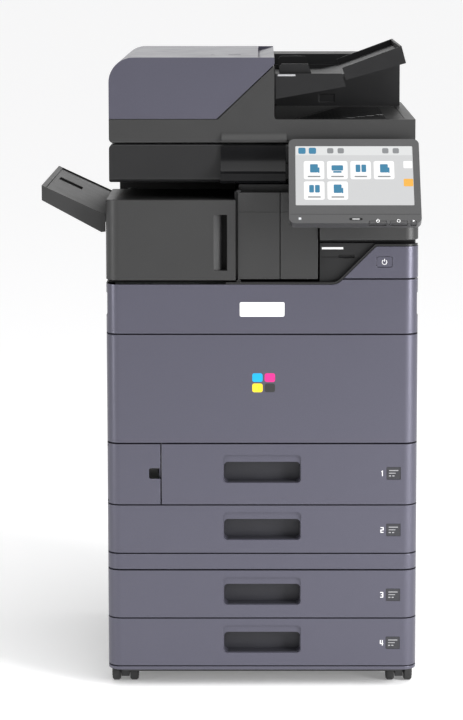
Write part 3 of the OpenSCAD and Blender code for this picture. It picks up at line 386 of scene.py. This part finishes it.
def recess_cutter(boxes, rounds=()):
    """Boxes, and rounds about the depth axis given as (x, z, radius, y0, y1), as one cutter."""
    bm = slabs(boxes)
    for x, z, radius, y0, y1 in rounds:
        add_prism(bm, circle_outline(x, z, radius, 24), "y", y0, y1)
    bmesh.ops.recalc_face_normals(bm, faces=bm.faces)
    for vert in bm.verts:
        vert.co = to_frame(vert.co)
    mesh = bpy.data.meshes.new("recesses")
    bm.to_mesh(mesh)
    bm.free()
    obj = bpy.data.objects.new("recesses", mesh)
    SCENE.collection.objects.link(obj)
    return obj


def soften(node, edge, material, steps=2, cutter=None):
    """A copy of a CAD node with its edges rounded stands for the node."""
    mesh = frame["nodes"][node].data.copy()
    bm = bmesh.new()
    bm.from_mesh(mesh)
    bmesh.ops.remove_doubles(bm, verts=bm.verts, dist=0.00001)
    if edge:
        bmesh.ops.dissolve_limit(bm, angle_limit=math.radians(0.6), verts=bm.verts, edges=bm.edges)
    bm.to_mesh(mesh)
    bm.free()
    for layer in ("custom_normal", "sharp_edge", "sharp_face"):
        if layer in mesh.attributes:
            mesh.attributes.remove(mesh.attributes[layer])
    name = node + "_moulding"
    if cutter:
        mesh = with_cuts(mesh, name, cutter)
    rounded = with_round_edges(mesh, name, edge, steps)
    obj = piece_from_mesh(name, rounded, body_of_node(node), material)
    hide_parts(node)
    return obj


# ---------- repeated parts ----------


def grid_tree():
    """Node tree and sockets for copies of one part on a grid of rows and columns."""
    tree = bpy.data.node_groups.new("parts_on_a_grid", "GeometryNodeTree")
    sockets = {}
    tree.interface.new_socket("Geometry", in_out="OUTPUT", socket_type="NodeSocketGeometry")
    for label, kind in (("Part", "Object"), ("Material", "Material"), ("Columns", "Int"), ("Rows", "Int"),
                        ("First", "Vector"), ("Column Step", "Vector"), ("Row Step", "Vector")):
        socket = tree.interface.new_socket(label, in_out="INPUT", socket_type="NodeSocket" + kind)
        sockets[label] = socket.identifier
    nodes, link = tree.nodes, tree.links.new
    given = nodes.new("NodeGroupInput")
    columns = nodes.new("GeometryNodeMeshLine")
    rows = nodes.new("GeometryNodeMeshLine")
    lattice = nodes.new("GeometryNodeInstanceOnPoints")
    points = nodes.new("GeometryNodeRealizeInstances")
    source = nodes.new("GeometryNodeObjectInfo")
    copies = nodes.new("GeometryNodeInstanceOnPoints")
    solid = nodes.new("GeometryNodeRealizeInstances")
    finish = nodes.new("GeometryNodeSetMaterial")
    result = nodes.new("NodeGroupOutput")
    link(given.outputs["Columns"], columns.inputs["Count"])
    link(given.outputs["First"], columns.inputs["Start Location"])
    link(given.outputs["Column Step"], columns.inputs["Offset"])
    link(given.outputs["Rows"], rows.inputs["Count"])
    link(given.outputs["Row Step"], rows.inputs["Offset"])
    link(columns.outputs["Mesh"], lattice.inputs["Points"])
    link(rows.outputs["Mesh"], lattice.inputs["Instance"])
    link(lattice.outputs["Instances"], points.inputs["Geometry"])
    link(points.outputs["Geometry"], copies.inputs["Points"])
    link(given.outputs["Part"], source.inputs["Object"])
    link(source.outputs["Geometry"], copies.inputs["Instance"])
    link(copies.outputs["Instances"], solid.inputs["Geometry"])
    link(solid.outputs["Geometry"], finish.inputs["Geometry"])
    link(given.outputs["Material"], finish.inputs["Material"])
    link(finish.outputs["Geometry"], result.inputs["Geometry"])
    return tree, sockets


def ring_tree():
    """Copies of one part in a circle, each turned to face outwards, then the whole ring turned."""
    tree = bpy.data.node_groups.new("parts_in_a_ring", "GeometryNodeTree")
    sockets = {}
    tree.interface.new_socket("Geometry", in_out="OUTPUT", socket_type="NodeSocketGeometry")
    for label, kind in (("Part", "Object"), ("Material", "Material"), ("Count", "Int"),
                        ("Radius", "Float"), ("Turn", "Vector"), ("Middle", "Vector")):
        socket = tree.interface.new_socket(label, in_out="INPUT", socket_type="NodeSocket" + kind)
        sockets[label] = socket.identifier
    nodes, link = tree.nodes, tree.links.new
    given = nodes.new("NodeGroupInput")
    circle = nodes.new("GeometryNodeMeshCircle")
    source = nodes.new("GeometryNodeObjectInfo")
    facing = nodes.new("GeometryNodeInputPosition")
    align = nodes.new("FunctionNodeAlignRotationToVector")
    align.axis = "X"
    copies = nodes.new("GeometryNodeInstanceOnPoints")
    solid = nodes.new("GeometryNodeRealizeInstances")
    turned = nodes.new("GeometryNodeTransform")
    finish = nodes.new("GeometryNodeSetMaterial")
    result = nodes.new("NodeGroupOutput")
    link(given.outputs["Count"], circle.inputs["Vertices"])
    link(given.outputs["Radius"], circle.inputs["Radius"])
    link(circle.outputs["Mesh"], copies.inputs["Points"])
    link(given.outputs["Part"], source.inputs["Object"])
    link(source.outputs["Geometry"], copies.inputs["Instance"])
    link(facing.outputs["Position"], align.inputs["Vector"])
    link(align.outputs["Rotation"], copies.inputs["Rotation"])
    link(copies.outputs["Instances"], solid.inputs["Geometry"])
    link(solid.outputs["Geometry"], turned.inputs["Geometry"])
    link(given.outputs["Turn"], turned.inputs["Rotation"])
    link(given.outputs["Middle"], turned.inputs["Translation"])
    link(turned.outputs["Geometry"], finish.inputs["Geometry"])
    link(given.outputs["Material"], finish.inputs["Material"])
    link(finish.outputs["Geometry"], result.inputs["Geometry"])
    return tree, sockets


GRID = grid_tree()
RING = ring_tree()


def part_mesh(bm, edge=0.0):
    """A loose part, in millimetres round its own origin, for a tree to copy."""
    bm.verts.index_update()
    settle(bm)
    mesh = bpy.data.meshes.new("part")
    bm.to_mesh(mesh)
    bm.free()
    mesh.transform(Matrix.Diagonal((MM, MM, MM, 1)))
    mesh = with_round_edges(mesh, "part", edge, 1)
    obj = bpy.data.objects.new("part", mesh)
    SCENE.collection.objects.link(obj)
    return obj


def spread_parts(name, trees, values, part, body, material):
    """Runs one of the trees on a part and keeps the result as a plain piece."""
    tree, sockets = trees
    carrier = bpy.data.objects.new(name + "_carrier", bpy.data.meshes.new(name))
    SCENE.collection.objects.link(carrier)
    modifier = carrier.modifiers.new("copies", "NODES")
    modifier.node_group = tree
    for label, value in {"Part": part, "Material": material, **values}.items():
        modifier[sockets[label]] = value
    mesh = baked_mesh(carrier)
    bpy.data.objects.remove(part)
    return piece_from_mesh(name, mesh, body, material)


def on_grid(name, part, columns, rows, first, column_step, row_step, body, material, place=UPRIGHT):
    """Copies on a grid whose first point and steps are given in millimetres."""
    turn = place.to_3x3()
    values = {"Columns": columns, "Rows": rows, "First": to_frame(place @ Vector(first)),
              "Column Step": turn @ Vector(column_step) * MM, "Row Step": turn @ Vector(row_step) * MM}
    return spread_parts(name, GRID, values, part, body, material)


def in_ring(name, part, count, radius, turn, middle, body, material):
    values = {"Count": count, "Radius": radius * MM, "Turn": turn, "Middle": to_frame(middle)}
    return spread_parts(name, RING, values, part, body, material)


def screw_part(radius=3.2, axis="y", sign=1):
    """A pan-head screw with a cross recess, whose head faces along the axis."""
    bm = bmesh.new()
    add_prism(bm, circle_outline(0, 0, radius, 16), "z", -0.6, 0.9)
    add_prism(bm, circle_outline(0, 0, radius * 0.72, 16), "z", 0.9, 1.5)
    bar = radius * 0.5
    add_prism(bm, [(-bar, -0.4), (bar, -0.4), (bar, 0.4), (-bar, 0.4)], "z", 1.5, 1.56)
    add_prism(bm, [(-0.4, 0.5), (0.4, 0.5), (0.4, bar), (-0.4, bar)], "z", 1.5, 1.56)
    add_prism(bm, [(-0.4, -bar), (0.4, -bar), (0.4, -0.5), (-0.4, -0.5)], "z", 1.5, 1.56)
    turn = {
        "x": Matrix.Rotation(math.radians(90 * sign), 4, "Y"),
        "y": Matrix.Rotation(math.radians(-90 * sign), 4, "X"),
    }[axis]
    bmesh.ops.transform(bm, matrix=turn, verts=bm.verts)
    return part_mesh(bm, 0.2)


# ---------- the camera and the studio ----------


def make_camera():
    camera = bpy.data.cameras.new("camera")
    camera.sensor_width = 36
    camera.lens = 123.1
    camera.shift_x = -0.0425
    camera.shift_y = -0.2
    camera.clip_end = 500
    obj = bpy.data.objects.new("camera", camera)
    SCENE.collection.objects.link(obj)
    obj.location = to_frame((0, -4684, 1461))
    obj.rotation_euler = (math.radians(90 - 6.458), 0, 0)
    SCENE.camera = obj


def area_light(name, place, target, width, height, power, color=(1, 1, 1)):
    light = bpy.data.lights.new(name, "AREA")
    light.shape = "RECTANGLE"
    light.size = width
    light.size_y = height
    light.energy = power
    light.color = color
    obj = bpy.data.objects.new(name, light)
    SCENE.collection.objects.link(obj)
    obj.location = to_frame(place)
    obj.visible_camera = False
    aim = to_frame(target) - obj.location
    obj.rotation_euler = aim.to_track_quat("-Z", "Y").to_euler()


def make_studio():
    """Pale floor, a soft sun from above, and soft boxes at both sides of the camera."""
    floor_mesh = bpy.data.meshes.new("floor")
    bm = bmesh.new()
    bmesh.ops.create_grid(bm, x_segments=1, y_segments=1, size=150)
    bm.to_mesh(floor_mesh)
    bm.free()
    floor = bpy.data.objects.new("floor", floor_mesh)
    SCENE.collection.objects.link(floor)
    paper = plain("floor_paper", (0.93, 0.93, 0.935), 0.7, glow=0.2)
    paper.node_tree.nodes["Principled BSDF"].inputs["Emission Color"].default_value = (1, 1, 1, 1)
    floor.data.materials.append(paper)
    world = bpy.data.worlds.new("studio")
    world.use_nodes = True
    world.node_tree.nodes["Background"].inputs["Color"].default_value = (1, 1, 1, 1)
    tree = world.node_tree
    seen = tree.nodes.new("ShaderNodeLightPath")
    level = tree.nodes.new("ShaderNodeMapRange")
    level.inputs["To Min"].default_value = 0.3
    level.inputs["To Max"].default_value = 1.0
    tree.links.new(seen.outputs["Is Camera Ray"], level.inputs["Value"])
    tree.links.new(level.outputs["Result"], tree.nodes["Background"].inputs["Strength"])
    SCENE.world = world
    sun = bpy.data.lights.new("overhead", "SUN")
    sun.energy = 1.9
    sun.angle = math.radians(70)
    sun_obj = bpy.data.objects.new("overhead", sun)
    SCENE.collection.objects.link(sun_obj)
    sun_obj.rotation_euler = (math.radians(24), math.radians(14), 0)
    area_light("right_box", (2700, -1900, 1500), (100, 0, 800), 1.2, 2.2, 150)
    area_light("left_box", (-2900, -1500, 1300), (-300, 0, 700), 0.6, 2.4, 34)
    area_light("back_box", (-300, 3300, 1900), (0, 300, 900), 2.6, 1.2, 9)
    SCENE.view_settings.view_transform = "Standard"


make_camera()
make_studio()

# ---------- covers that carry over from the frame ----------

WHEELS = ["wheels_front_left", "wheels_front_right", "wheels_rear_left", "wheels_rear_right"]
SOFT_EDGES = [
    (SLATE, 1.1, ["front_cover", "front_upper_panel", "power_panel", "waste_toner_door", "feeder_trim",
                  "power_button",
                  "drawer_1_front", "drawer_2_front", "drawer_3_front", "drawer_4_front"]),
    (SLATE, 1.6, ["adf_top_cover"]),
    (CHARCOAL, 0.0, ["adf_base"]),
    (TRAY_BLACK, 1.4, ["adf_rear_cover"]),
    (CHARCOAL, 1.4, ["scanner_column", "finisher_door", "relay_door", "relay_cover", "right_door"]),
    (CHARCOAL, 0.9, ["side_covers", "rear_cover", "feeder_covers", "finisher_tray", "bypass_tray"]),
    (TRAY_BLACK, 0.7, ["adf_feed_tray", "adf_guide_front", "adf_guide_rear"]),
    (CHARCOAL_SOFT, 2.2, ["scanner_body"]),
    (CHARCOAL_SOFT, 0.6, ["bay_panel"]),
    (BEZEL, 2.0, ["panel_housing"]),
    (BEZEL, 0.6, ["panel_key_1", "panel_key_2", "panel_key_3"]),
    (ARM_BLACK, 1.2, ["panel_arm"]),
    (BLACK, 0.8, ["finisher_body", "drawer_1_tray", "drawer_2_tray", "drawer_3_tray", "drawer_4_tray",
                  "scan_carriage", "mirror_carriage"]),
    (BASE_STEEL, 0.8, ["feeder_frame", "caster_fork_left", "caster_fork_right"]),
    (PALE, 1.2, ["waste_toner_box", "platen_pad"]),
    (RUBBER, 0.8, [*WHEELS, "adf_feed_roller"]),
    (BLACK, 1.2, ["toner_containers"]),
]
BACK = 560.0
LEFT_LOUVRES = [(392 + 34 * c, 300 + 10 * r) for c in range(4) for r in range(10)]
REAR_SCREWS = [(x, z) for x in (-286, 286) for z in (290, 470, 760, 974)]


def rear_cutter():
    return recess_cutter([], [(x, z, 5, BACK - 1.8, BACK + 1) for x, z in REAR_SCREWS])


def left_cutter():
    return recess_cutter([((-302, y, z), (-299.8, y + 28, z + 5)) for y, z in LEFT_LOUVRES])


CUTTERS = {"rear_cover": rear_cutter, "side_covers": left_cutter}
for finish, edge, names in SOFT_EDGES:
    for node in names:
        soften(node, edge, finish, cutter=CUTTERS[node]() if node in CUTTERS else None)

KEPT_NODES = {
    "main_frame": STEEL, "print_engine": BLACK, "exhaust_fan": BLACK, "platen_glass": GLASS,
    "touch_screen": SCREEN, **{f"drawer_{i}_lift_plate": STEEL for i in range(1, 5)},
}
for node, finish in KEPT_NODES.items():
    mesh = frame["nodes"][node].data
    mesh.materials.clear()
    mesh.materials.append(finish)

# ---------- printed marks and small parts of the front ----------


def bars(strokes, y_front, y_back):
    """Flat strokes (x0, z0, x1, z1) raised on a front face."""
    return [((x0, y_front, z0), (x1, y_back, z1)) for x0, z0, x1, z1 in strokes]


def node_piece(name, bm, node, material, edge=0.0, **rest):
    """A piece that rides with a CAD node."""
    return piece(name, bm, body_of_node(node), slot_of_node(node), material, edge, **rest)


# Strokes of the figures 1 to 4 on a field 6 wide and 11 high.
FIGURES = [
    [(2.4, 0, 3.9, 11), (1.0, 8.2, 2.4, 9.6)],
    [(0, 0, 6, 1.5), (0, 1.5, 1.5, 4.8), (0, 4.8, 6, 6.2), (4.5, 6.2, 6, 9.5), (0, 9.5, 6, 11)],
    [(0, 0, 6, 1.5), (4.5, 1.5, 6, 4.8), (1.2, 4.8, 6, 6.2), (4.5, 6.2, 6, 9.5), (0, 9.5, 6, 11)],
    [(4.0, 0, 5.5, 11), (0, 3.2, 4.0, 4.7), (0, 4.7, 1.5, 11), (5.5, 3.2, 6.6, 4.7)],
]
LABEL_Z = [429, 317, 188, 92]


def drawer_labels():
    """Figure, dark window and paper marks at the right of each drawer front."""
    for i, z in enumerate(LABEL_Z):
        front = f"drawer_{i + 1}_front"
        strokes = [(230 + x0, z - 5.5 + z0, 230 + x1, z - 5.5 + z1) for x0, z0, x1, z1 in FIGURES[i]]
        node_piece(f"drawer_{i + 1}_figure", slabs(bars(strokes, -0.12, 0.05)), front, WHITE_PRINT)
        window = bmesh.new()
        add_prism(window, round_outline(255, z, 27.6, 24.6, 1.4), "y", 0.5, 1.7)
        node_piece(f"drawer_{i + 1}_window", window, front, WINDOW, 0.3)
        lines = [(246, z + 4.5, 264, z + 6.3), (246, z - 0.6, 259, z + 0.9),
                 (246, z - 6.2, 250, z - 4.2), (252.5, z - 6.2, 256.5, z - 4.2)]
        node_piece(f"drawer_{i + 1}_level_marks", slabs(bars(lines, 0.4, 0.6)), front, GREY_PRINT)


def front_marks():
    """Blank badge, the four process colours, and the mark of the power switch."""
    badge = bmesh.new()
    add_prism(badge, round_outline(0, 750, 86, 28, 3), "y", -0.6, 0.1)
    node_piece("blank_badge", badge, "front_upper_panel", WHITE_PRINT, 0.2)
    for i, (x, z) in enumerate(((-9, 617), (15, 617), (-9, 597), (15, 597))):
        square = bmesh.new()
        add_prism(square, round_outline(x, z, 20, 17, 4), "y", -0.12, 0.1)
        node_piece(f"colour_square_{i + 1}", square, "front_cover", INKS[(1, 2, 3, 0)[i]])
    mark = bmesh.new()
    add_ring(mark, 235, 841.5, 5.0, 3.9, "y", 0.85, 1.1, 24, 125, 415)
    add_block(mark, (234.4, 0.85, 842.5), (235.6, 1.1, 848))
    node_piece("power_mark", mark, "power_button", WHITE_PRINT)


# Middle of the display, measured up the panel from its lower edge.
SCREEN_Z = PANEL_LONG / 2 + 12
SCREEN_HIGH = 133.4
# Columns and rows of the tiles on the display: first place and step.
TILE_X, TILE_STEP_X = -76.5, 44.3
TILE_STEP_Z = 46
TILES = ((0, 0), (1, 0), (2, 0), (3, 0), (0, 1), (1, 1))


def on_panel(name, bm, material, node="panel_housing"):
    """A piece drawn in the touch panel's frame."""
    return node_piece(name, bm, node, material, place=PANEL_FRAME)


def rounded_on_screen(bm, x, z, width, height, radius, front, back):
    add_prism(bm, round_outline(x, SCREEN_Z + z, width, height, radius), "y", front, back)


def screen_image():
    """Header, tiles and tabs of the home page, all without words."""
    header = bmesh.new()
    rounded_on_screen(header, 0, 56, 221, 20, 1, 0.35, 0.5)
    on_panel("display_header_strip", header, SCREEN_HEAD, "touch_screen")
    tiles = bmesh.new()
    for column, row in TILES:
        rounded_on_screen(tiles, TILE_X + TILE_STEP_X * column, 12 - TILE_STEP_Z * row, 39, 41, 4, 0.3, 0.5)
    rounded_on_screen(tiles, 102, 24.5, 17, 16, 2, 0.3, 0.5)
    on_panel("display_tiles", tiles, TILE, "touch_screen")
    icons = bmesh.new()
    for column, row in TILES:
        x, z = TILE_X + TILE_STEP_X * column, 16 - TILE_STEP_Z * row
        shape = (column + 2 * row) % 3
        if shape == 0:
            rounded_on_screen(icons, x, z, 15, 19, 2, 0.2, 0.3)
            rounded_on_screen(icons, x + 9, z - 4, 3, 12, 1, 0.2, 0.3)
        elif shape == 1:
            rounded_on_screen(icons, x, z + 1, 22, 12, 2, 0.2, 0.3)
            rounded_on_screen(icons, x, z - 8, 16, 4, 1, 0.2, 0.3)
        else:
            rounded_on_screen(icons, x - 5, z, 9, 17, 2, 0.2, 0.3)
            rounded_on_screen(icons, x + 6, z, 9, 17, 2, 0.2, 0.3)
    for x in (-99, -79):
        rounded_on_screen(icons, x, 56, 14, 14, 3, 0.2, 0.35)
    on_panel("display_icons", icons, TEAL, "touch_screen")
    small = bmesh.new()
    for x in (-45, -25, 60, 80):
        rounded_on_screen(small, x, 56, 12, 12, 3, 0.2, 0.35)
    for column, row in TILES:
        rounded_on_screen(small, TILE_X + TILE_STEP_X * column, -2.5 - TILE_STEP_Z * row, 24, 3, 1, 0.2, 0.3)
    on_panel("display_captions", small, TILE_GREY, "touch_screen")
    tab = bmesh.new()
    rounded_on_screen(tab, 102, -16, 18, 17, 2, 0.3, 0.5)
    on_panel("display_orange_tab", tab, ORANGE, "touch_screen")


def panel_marks():
    """Lamp, seam and printed marks of the panel below its screen."""
    low = SCREEN_Z - SCREEN_HIGH / 2
    lamp = bmesh.new()
    add_prism(lamp, round_outline(-104, low - 30, 5, 5, 1), "y", -0.15, 0.3)
    on_panel("status_lamp", lamp, LAMP)
    seam = slabs([((-122, -0.05, low - 20.6), (122, 0.25, low - 20.0))])
    on_panel("panel_seam", seam, DEEP_BLACK)
    slot = bmesh.new()
    add_prism(slot, round_outline(1, low - 31, 25, 5, 2.4), "y", -0.12, 0.3)
    on_panel("near_field_mark", slot, DEEP_BLACK)
    printed = slabs([((-6, -0.2, low - 31.6), (8, -0.1, low - 30.4))])
    add_ring(printed, 42, low - 35, 3.4, 2.4, "y", -0.15, 0.3, 20, 120, 420)
    add_block(printed, (41.4, -0.15, low - 35), (42.6, 0.3, low - 30.6))
    add_ring(printed, 81, low - 35, 3.4, 2.4, "y", -0.15, 0.3, 20)
    add_prism(printed, [(107.5, low - 33), (111.5, low - 35), (107.5, low - 37)], "y", -0.15, 0.3)
    on_panel("panel_key_marks", printed, WHITE_PRINT)


def wheel_hubs():
    """A hub cap with spokes on the outer side of each caster wheel."""
    for name in WHEELS:
        low, high = cabinet_box(name)
        y = (low.y + high.y) / 2
        for side, x, sign in (("left", low.x, -1), ("right", high.x, 1)):
            middle = (x + sign * 0.3, y, 18.5)
            cap = bmesh.new()
            start, end = sorted((x - sign * 1.5, x + sign * 0.2))
            add_prism(cap, circle_outline(y, 18.5, 11.5, 36), "x", start, end)
            node_piece(f"{name}_{side}_hub", cap, name, BLACK, 0.4)
            spoke = slabs([((4.2, -0.7, -0.5), (10.4, 0.7, 0.5))])
            in_ring(f"{name}_{side}_spokes", part_mesh(spoke), 8, 0.4, (0, math.radians(90), 0), middle,
                    body_of_node(name), CHARCOAL_SOFT)


drawer_labels()
front_marks()
screen_image()
panel_marks()
wheel_hubs()

# Lower and upper end of the tall grip slot in the finisher's door.
GRIP_SLOT = (825.4, 932.6)


def grip_shade_and_drawer_seals():
    """Painted shade on the back and right walls of the finisher's grip slot, a black sloped wall in it, and
    the seal along the top of each drawer front.
    """
    low, high = GRIP_SLOT
    # Painted shade: deep black sheets on the back and right walls of the grip slot.
    grip = slabs([((-77.8, 22.0, low), (-67.2, 23.4, high)), ((-68.2, 2, low), (-67.1, 23, high))])
    node_piece("finisher_grip_liner", grip, "finisher_door", DEEP_BLACK)
    slope = bmesh.new()
    wall = [(-92.8, 0.8), (-77.6, 12.4), (-77.6, 22), (-78.2, 22), (-78.2, 12.8), (-92.8, 1.6)]
    add_prism(slope, wall, "z", low, high)
    node_piece("finisher_grip_slope", slope, "finisher_door", BLACK)
    for i in range(4):
        top = cabinet_box(f"drawer_{i + 1}_front")[1].z
        strip = slabs([((-296, 27.0, top - 1.5), (296, 27.6, top - 0.5))])
        node_piece(f"drawer_{i + 1}_top_seal", strip, f"drawer_{i + 1}_front", BLACK)


def tray_ribs():
    """Low ribs up the slope of the copy bed, and the size marks beside them."""
    bed = cabinet_box("adf_rear_cover")[0].z - 1
    rib = bmesh.new()
    add_prism(rib, [(0, -32.5), (110, -0.6), (190, -0.6), (190, 1.2), (110, 1.2), (0, -30.7)], "y", 0, 2.4)
    on_grid("copy_bed_ribs", part_mesh(rib, 0.3), 1, 12, (50, 80, bed), (1, 0, 0), (0, 28, 0),
            body_of_node("adf_base"), TRAY_BLACK)
    marks = slabs([((0, 0, -0.1), (8, 1.6, 0.2)), ((0, 6, -0.1), (14, 7.6, 0.2))])
    on_grid("copy_bed_size_marks", part_mesh(marks), 4, 1, (166, 92, bed), (20, 28, 0), (0, 0, 0),
            body_of_node("adf_base"), WHITE_PRINT)


def cover_marks():
    """Mark and slot on top of the feeder's cover, and the white strip of the feed tray."""
    top = cabinet_box("adf_rear_cover")[1].z + 11
    dots = bmesh.new()
    add_prism(dots, circle_outline(-97, 150, 4, 24), "z", top - 0.2, top + 0.1)
    add_block(dots, (-66, 148, top - 0.2), (-42, 158, top + 0.1))
    node_piece("feeder_top_marks", dots, "adf_top_cover", DEEP_BLACK)
    low = cabinet_box("adf_feed_tray")[0]
    strip = slabs([((low.x + 4, low.y - 0.25, 1196), (low.x + 38, low.y + 0.4, 1199.5))])
    node_piece("feed_tray_size_strip", strip, "adf_feed_tray", GREY_PRINT)


def bay_marks():
    """White strip on the port block, the dark line under it and the mark beside the port."""
    strip = slabs([((115, 12.7, 865), (156, 13.1, 869))])
    node_piece("bay_strip", strip, "bay_panel", WHITE_PRINT)
    lines = slabs([((113, 12.8, 849.6), (158, 13.1, 850.6)), ((157, 15.7, 846), (167, 16.1, 847.4))])
    node_piece("bay_lines", lines, "bay_panel", DEEP_BLACK)


def toner_caps():
    """Coloured caps on the ends of the four containers."""
    for i, ink in enumerate(INKS):
        width = 96 if i == 3 else 76
        x = -248 + i * 92 + width / 2
        cap = bmesh.new()
        add_prism(cap, round_outline(x, 658.5, 26, 30, 4), "y", 31.0, 32.6)
        node_piece(f"toner_cap_{i + 1}", cap, "toner_containers", ink, 0.5)
        bar = slabs([((x - 2, 30.2, 648), (x + 2, 31.4, 669))])
        node_piece(f"toner_grip_{i + 1}", bar, "toner_containers", BLACK, 0.4)


def drawer_inside():
    """Ribs up each drawer's side wall, its green lever, and the friction pad on its lift plate."""
    for i in range(4):
        tray, plate = f"drawer_{i + 1}_tray", f"drawer_{i + 1}_lift_plate"
        low, high = cabinet_box(tray)
        rib = slabs([((0, 0, 0), (2.4, 3, 44))])
        on_grid(f"drawer_{i + 1}_wall_ribs", part_mesh(rib, 0.3), 1, 9, (low.x + 4.5, low.y + 40, low.z + 5),
                (1, 0, 0), (0, 48, 0), body_of_node(tray), BLACK)
        lever = bmesh.new()
        add_prism(lever, round_outline(high.x - 16, low.y + 24, 14, 22, 3), "z", high.z - 3, high.z - 0.5)
        node_piece(f"drawer_{i + 1}_lever", lever, tray, GREEN_LEVER, 0.5)
        low, high = cabinet_box(plate)
        pad = bmesh.new()
        outline = round_outline((low.x + high.x) / 2, low.y + 28, 60, 26, 3)
        add_prism(pad, outline, "z", high.z - 0.2, high.z + 0.5)
        node_piece(f"drawer_{i + 1}_friction_pad", pad, plate, RUBBER)


def pocket_painted_shade():
    """Painted shade: a darker, duller sheet on the back wall, floor and right wall of each finger pocket."""
    for i in range(4):
        front = f"drawer_{i + 1}_front"
        top = cabinet_box(front)[1].z + 1.3
        z = top - (21 if i == 0 else 13) - 1.3 - 27.5
        # Painted shade: dark sheets on the back wall, floor and right wall of the pocket.
        wall_shade = bmesh.new()
        add_prism(wall_shade, round_outline(0, z - 7, 147.4, 39.4, 7.6), "y", 31.0, 31.8)
        node_piece(f"drawer_{i + 1}_pocket_back", wall_shade, front, POCKET_SHADE)
        floor = slabs([((-66, 6.5, z - 26.9), (66, 31, z - 26.3)), ((72.9, 6.5, z - 18), (73.6, 31, z + 4))])
        node_piece(f"drawer_{i + 1}_pocket_floor", floor, front, POCKET_SHADE)


def rear_details():
    """Screws at the rear and on the left side, and painted shade in the louvre slots low on the left."""
    for name, first_z, rise in (("rear_screws", 290, 684), ("rear_middle_screws", 470, 290)):
        on_grid(name, screw_part(3.2, "y", 1), 2, 2, (-286, BACK - 1.75, first_z), (572, 0, 0), (0, 0, rise),
                body_of_node("rear_cover"), STEEL)
    # Painted shade: a black sheet on the floor of each louvre recess.
    slot = slabs([((0, 0.6, 0.6), (0.3, 27.4, 4.4))])
    on_grid("left_louvre_slots", part_mesh(slot), 4, 10, (-300.1, 392, 300), (0, 34, 0), (0, 0, 10),
            body_of_node("side_covers"), DEEP_BLACK)
    on_grid("feeder_rear_screws", screw_part(3.2, "x", -1), 2, 2, (-301.05, 60, 70), (0, 440, 0), (0, 0, 170),
            body_of_node("feeder_covers"), STEEL)


pocket_painted_shade()
rear_details()
grip_shade_and_drawer_seals()
tray_ribs()
cover_marks()
bay_marks()
toner_caps()
drawer_inside()
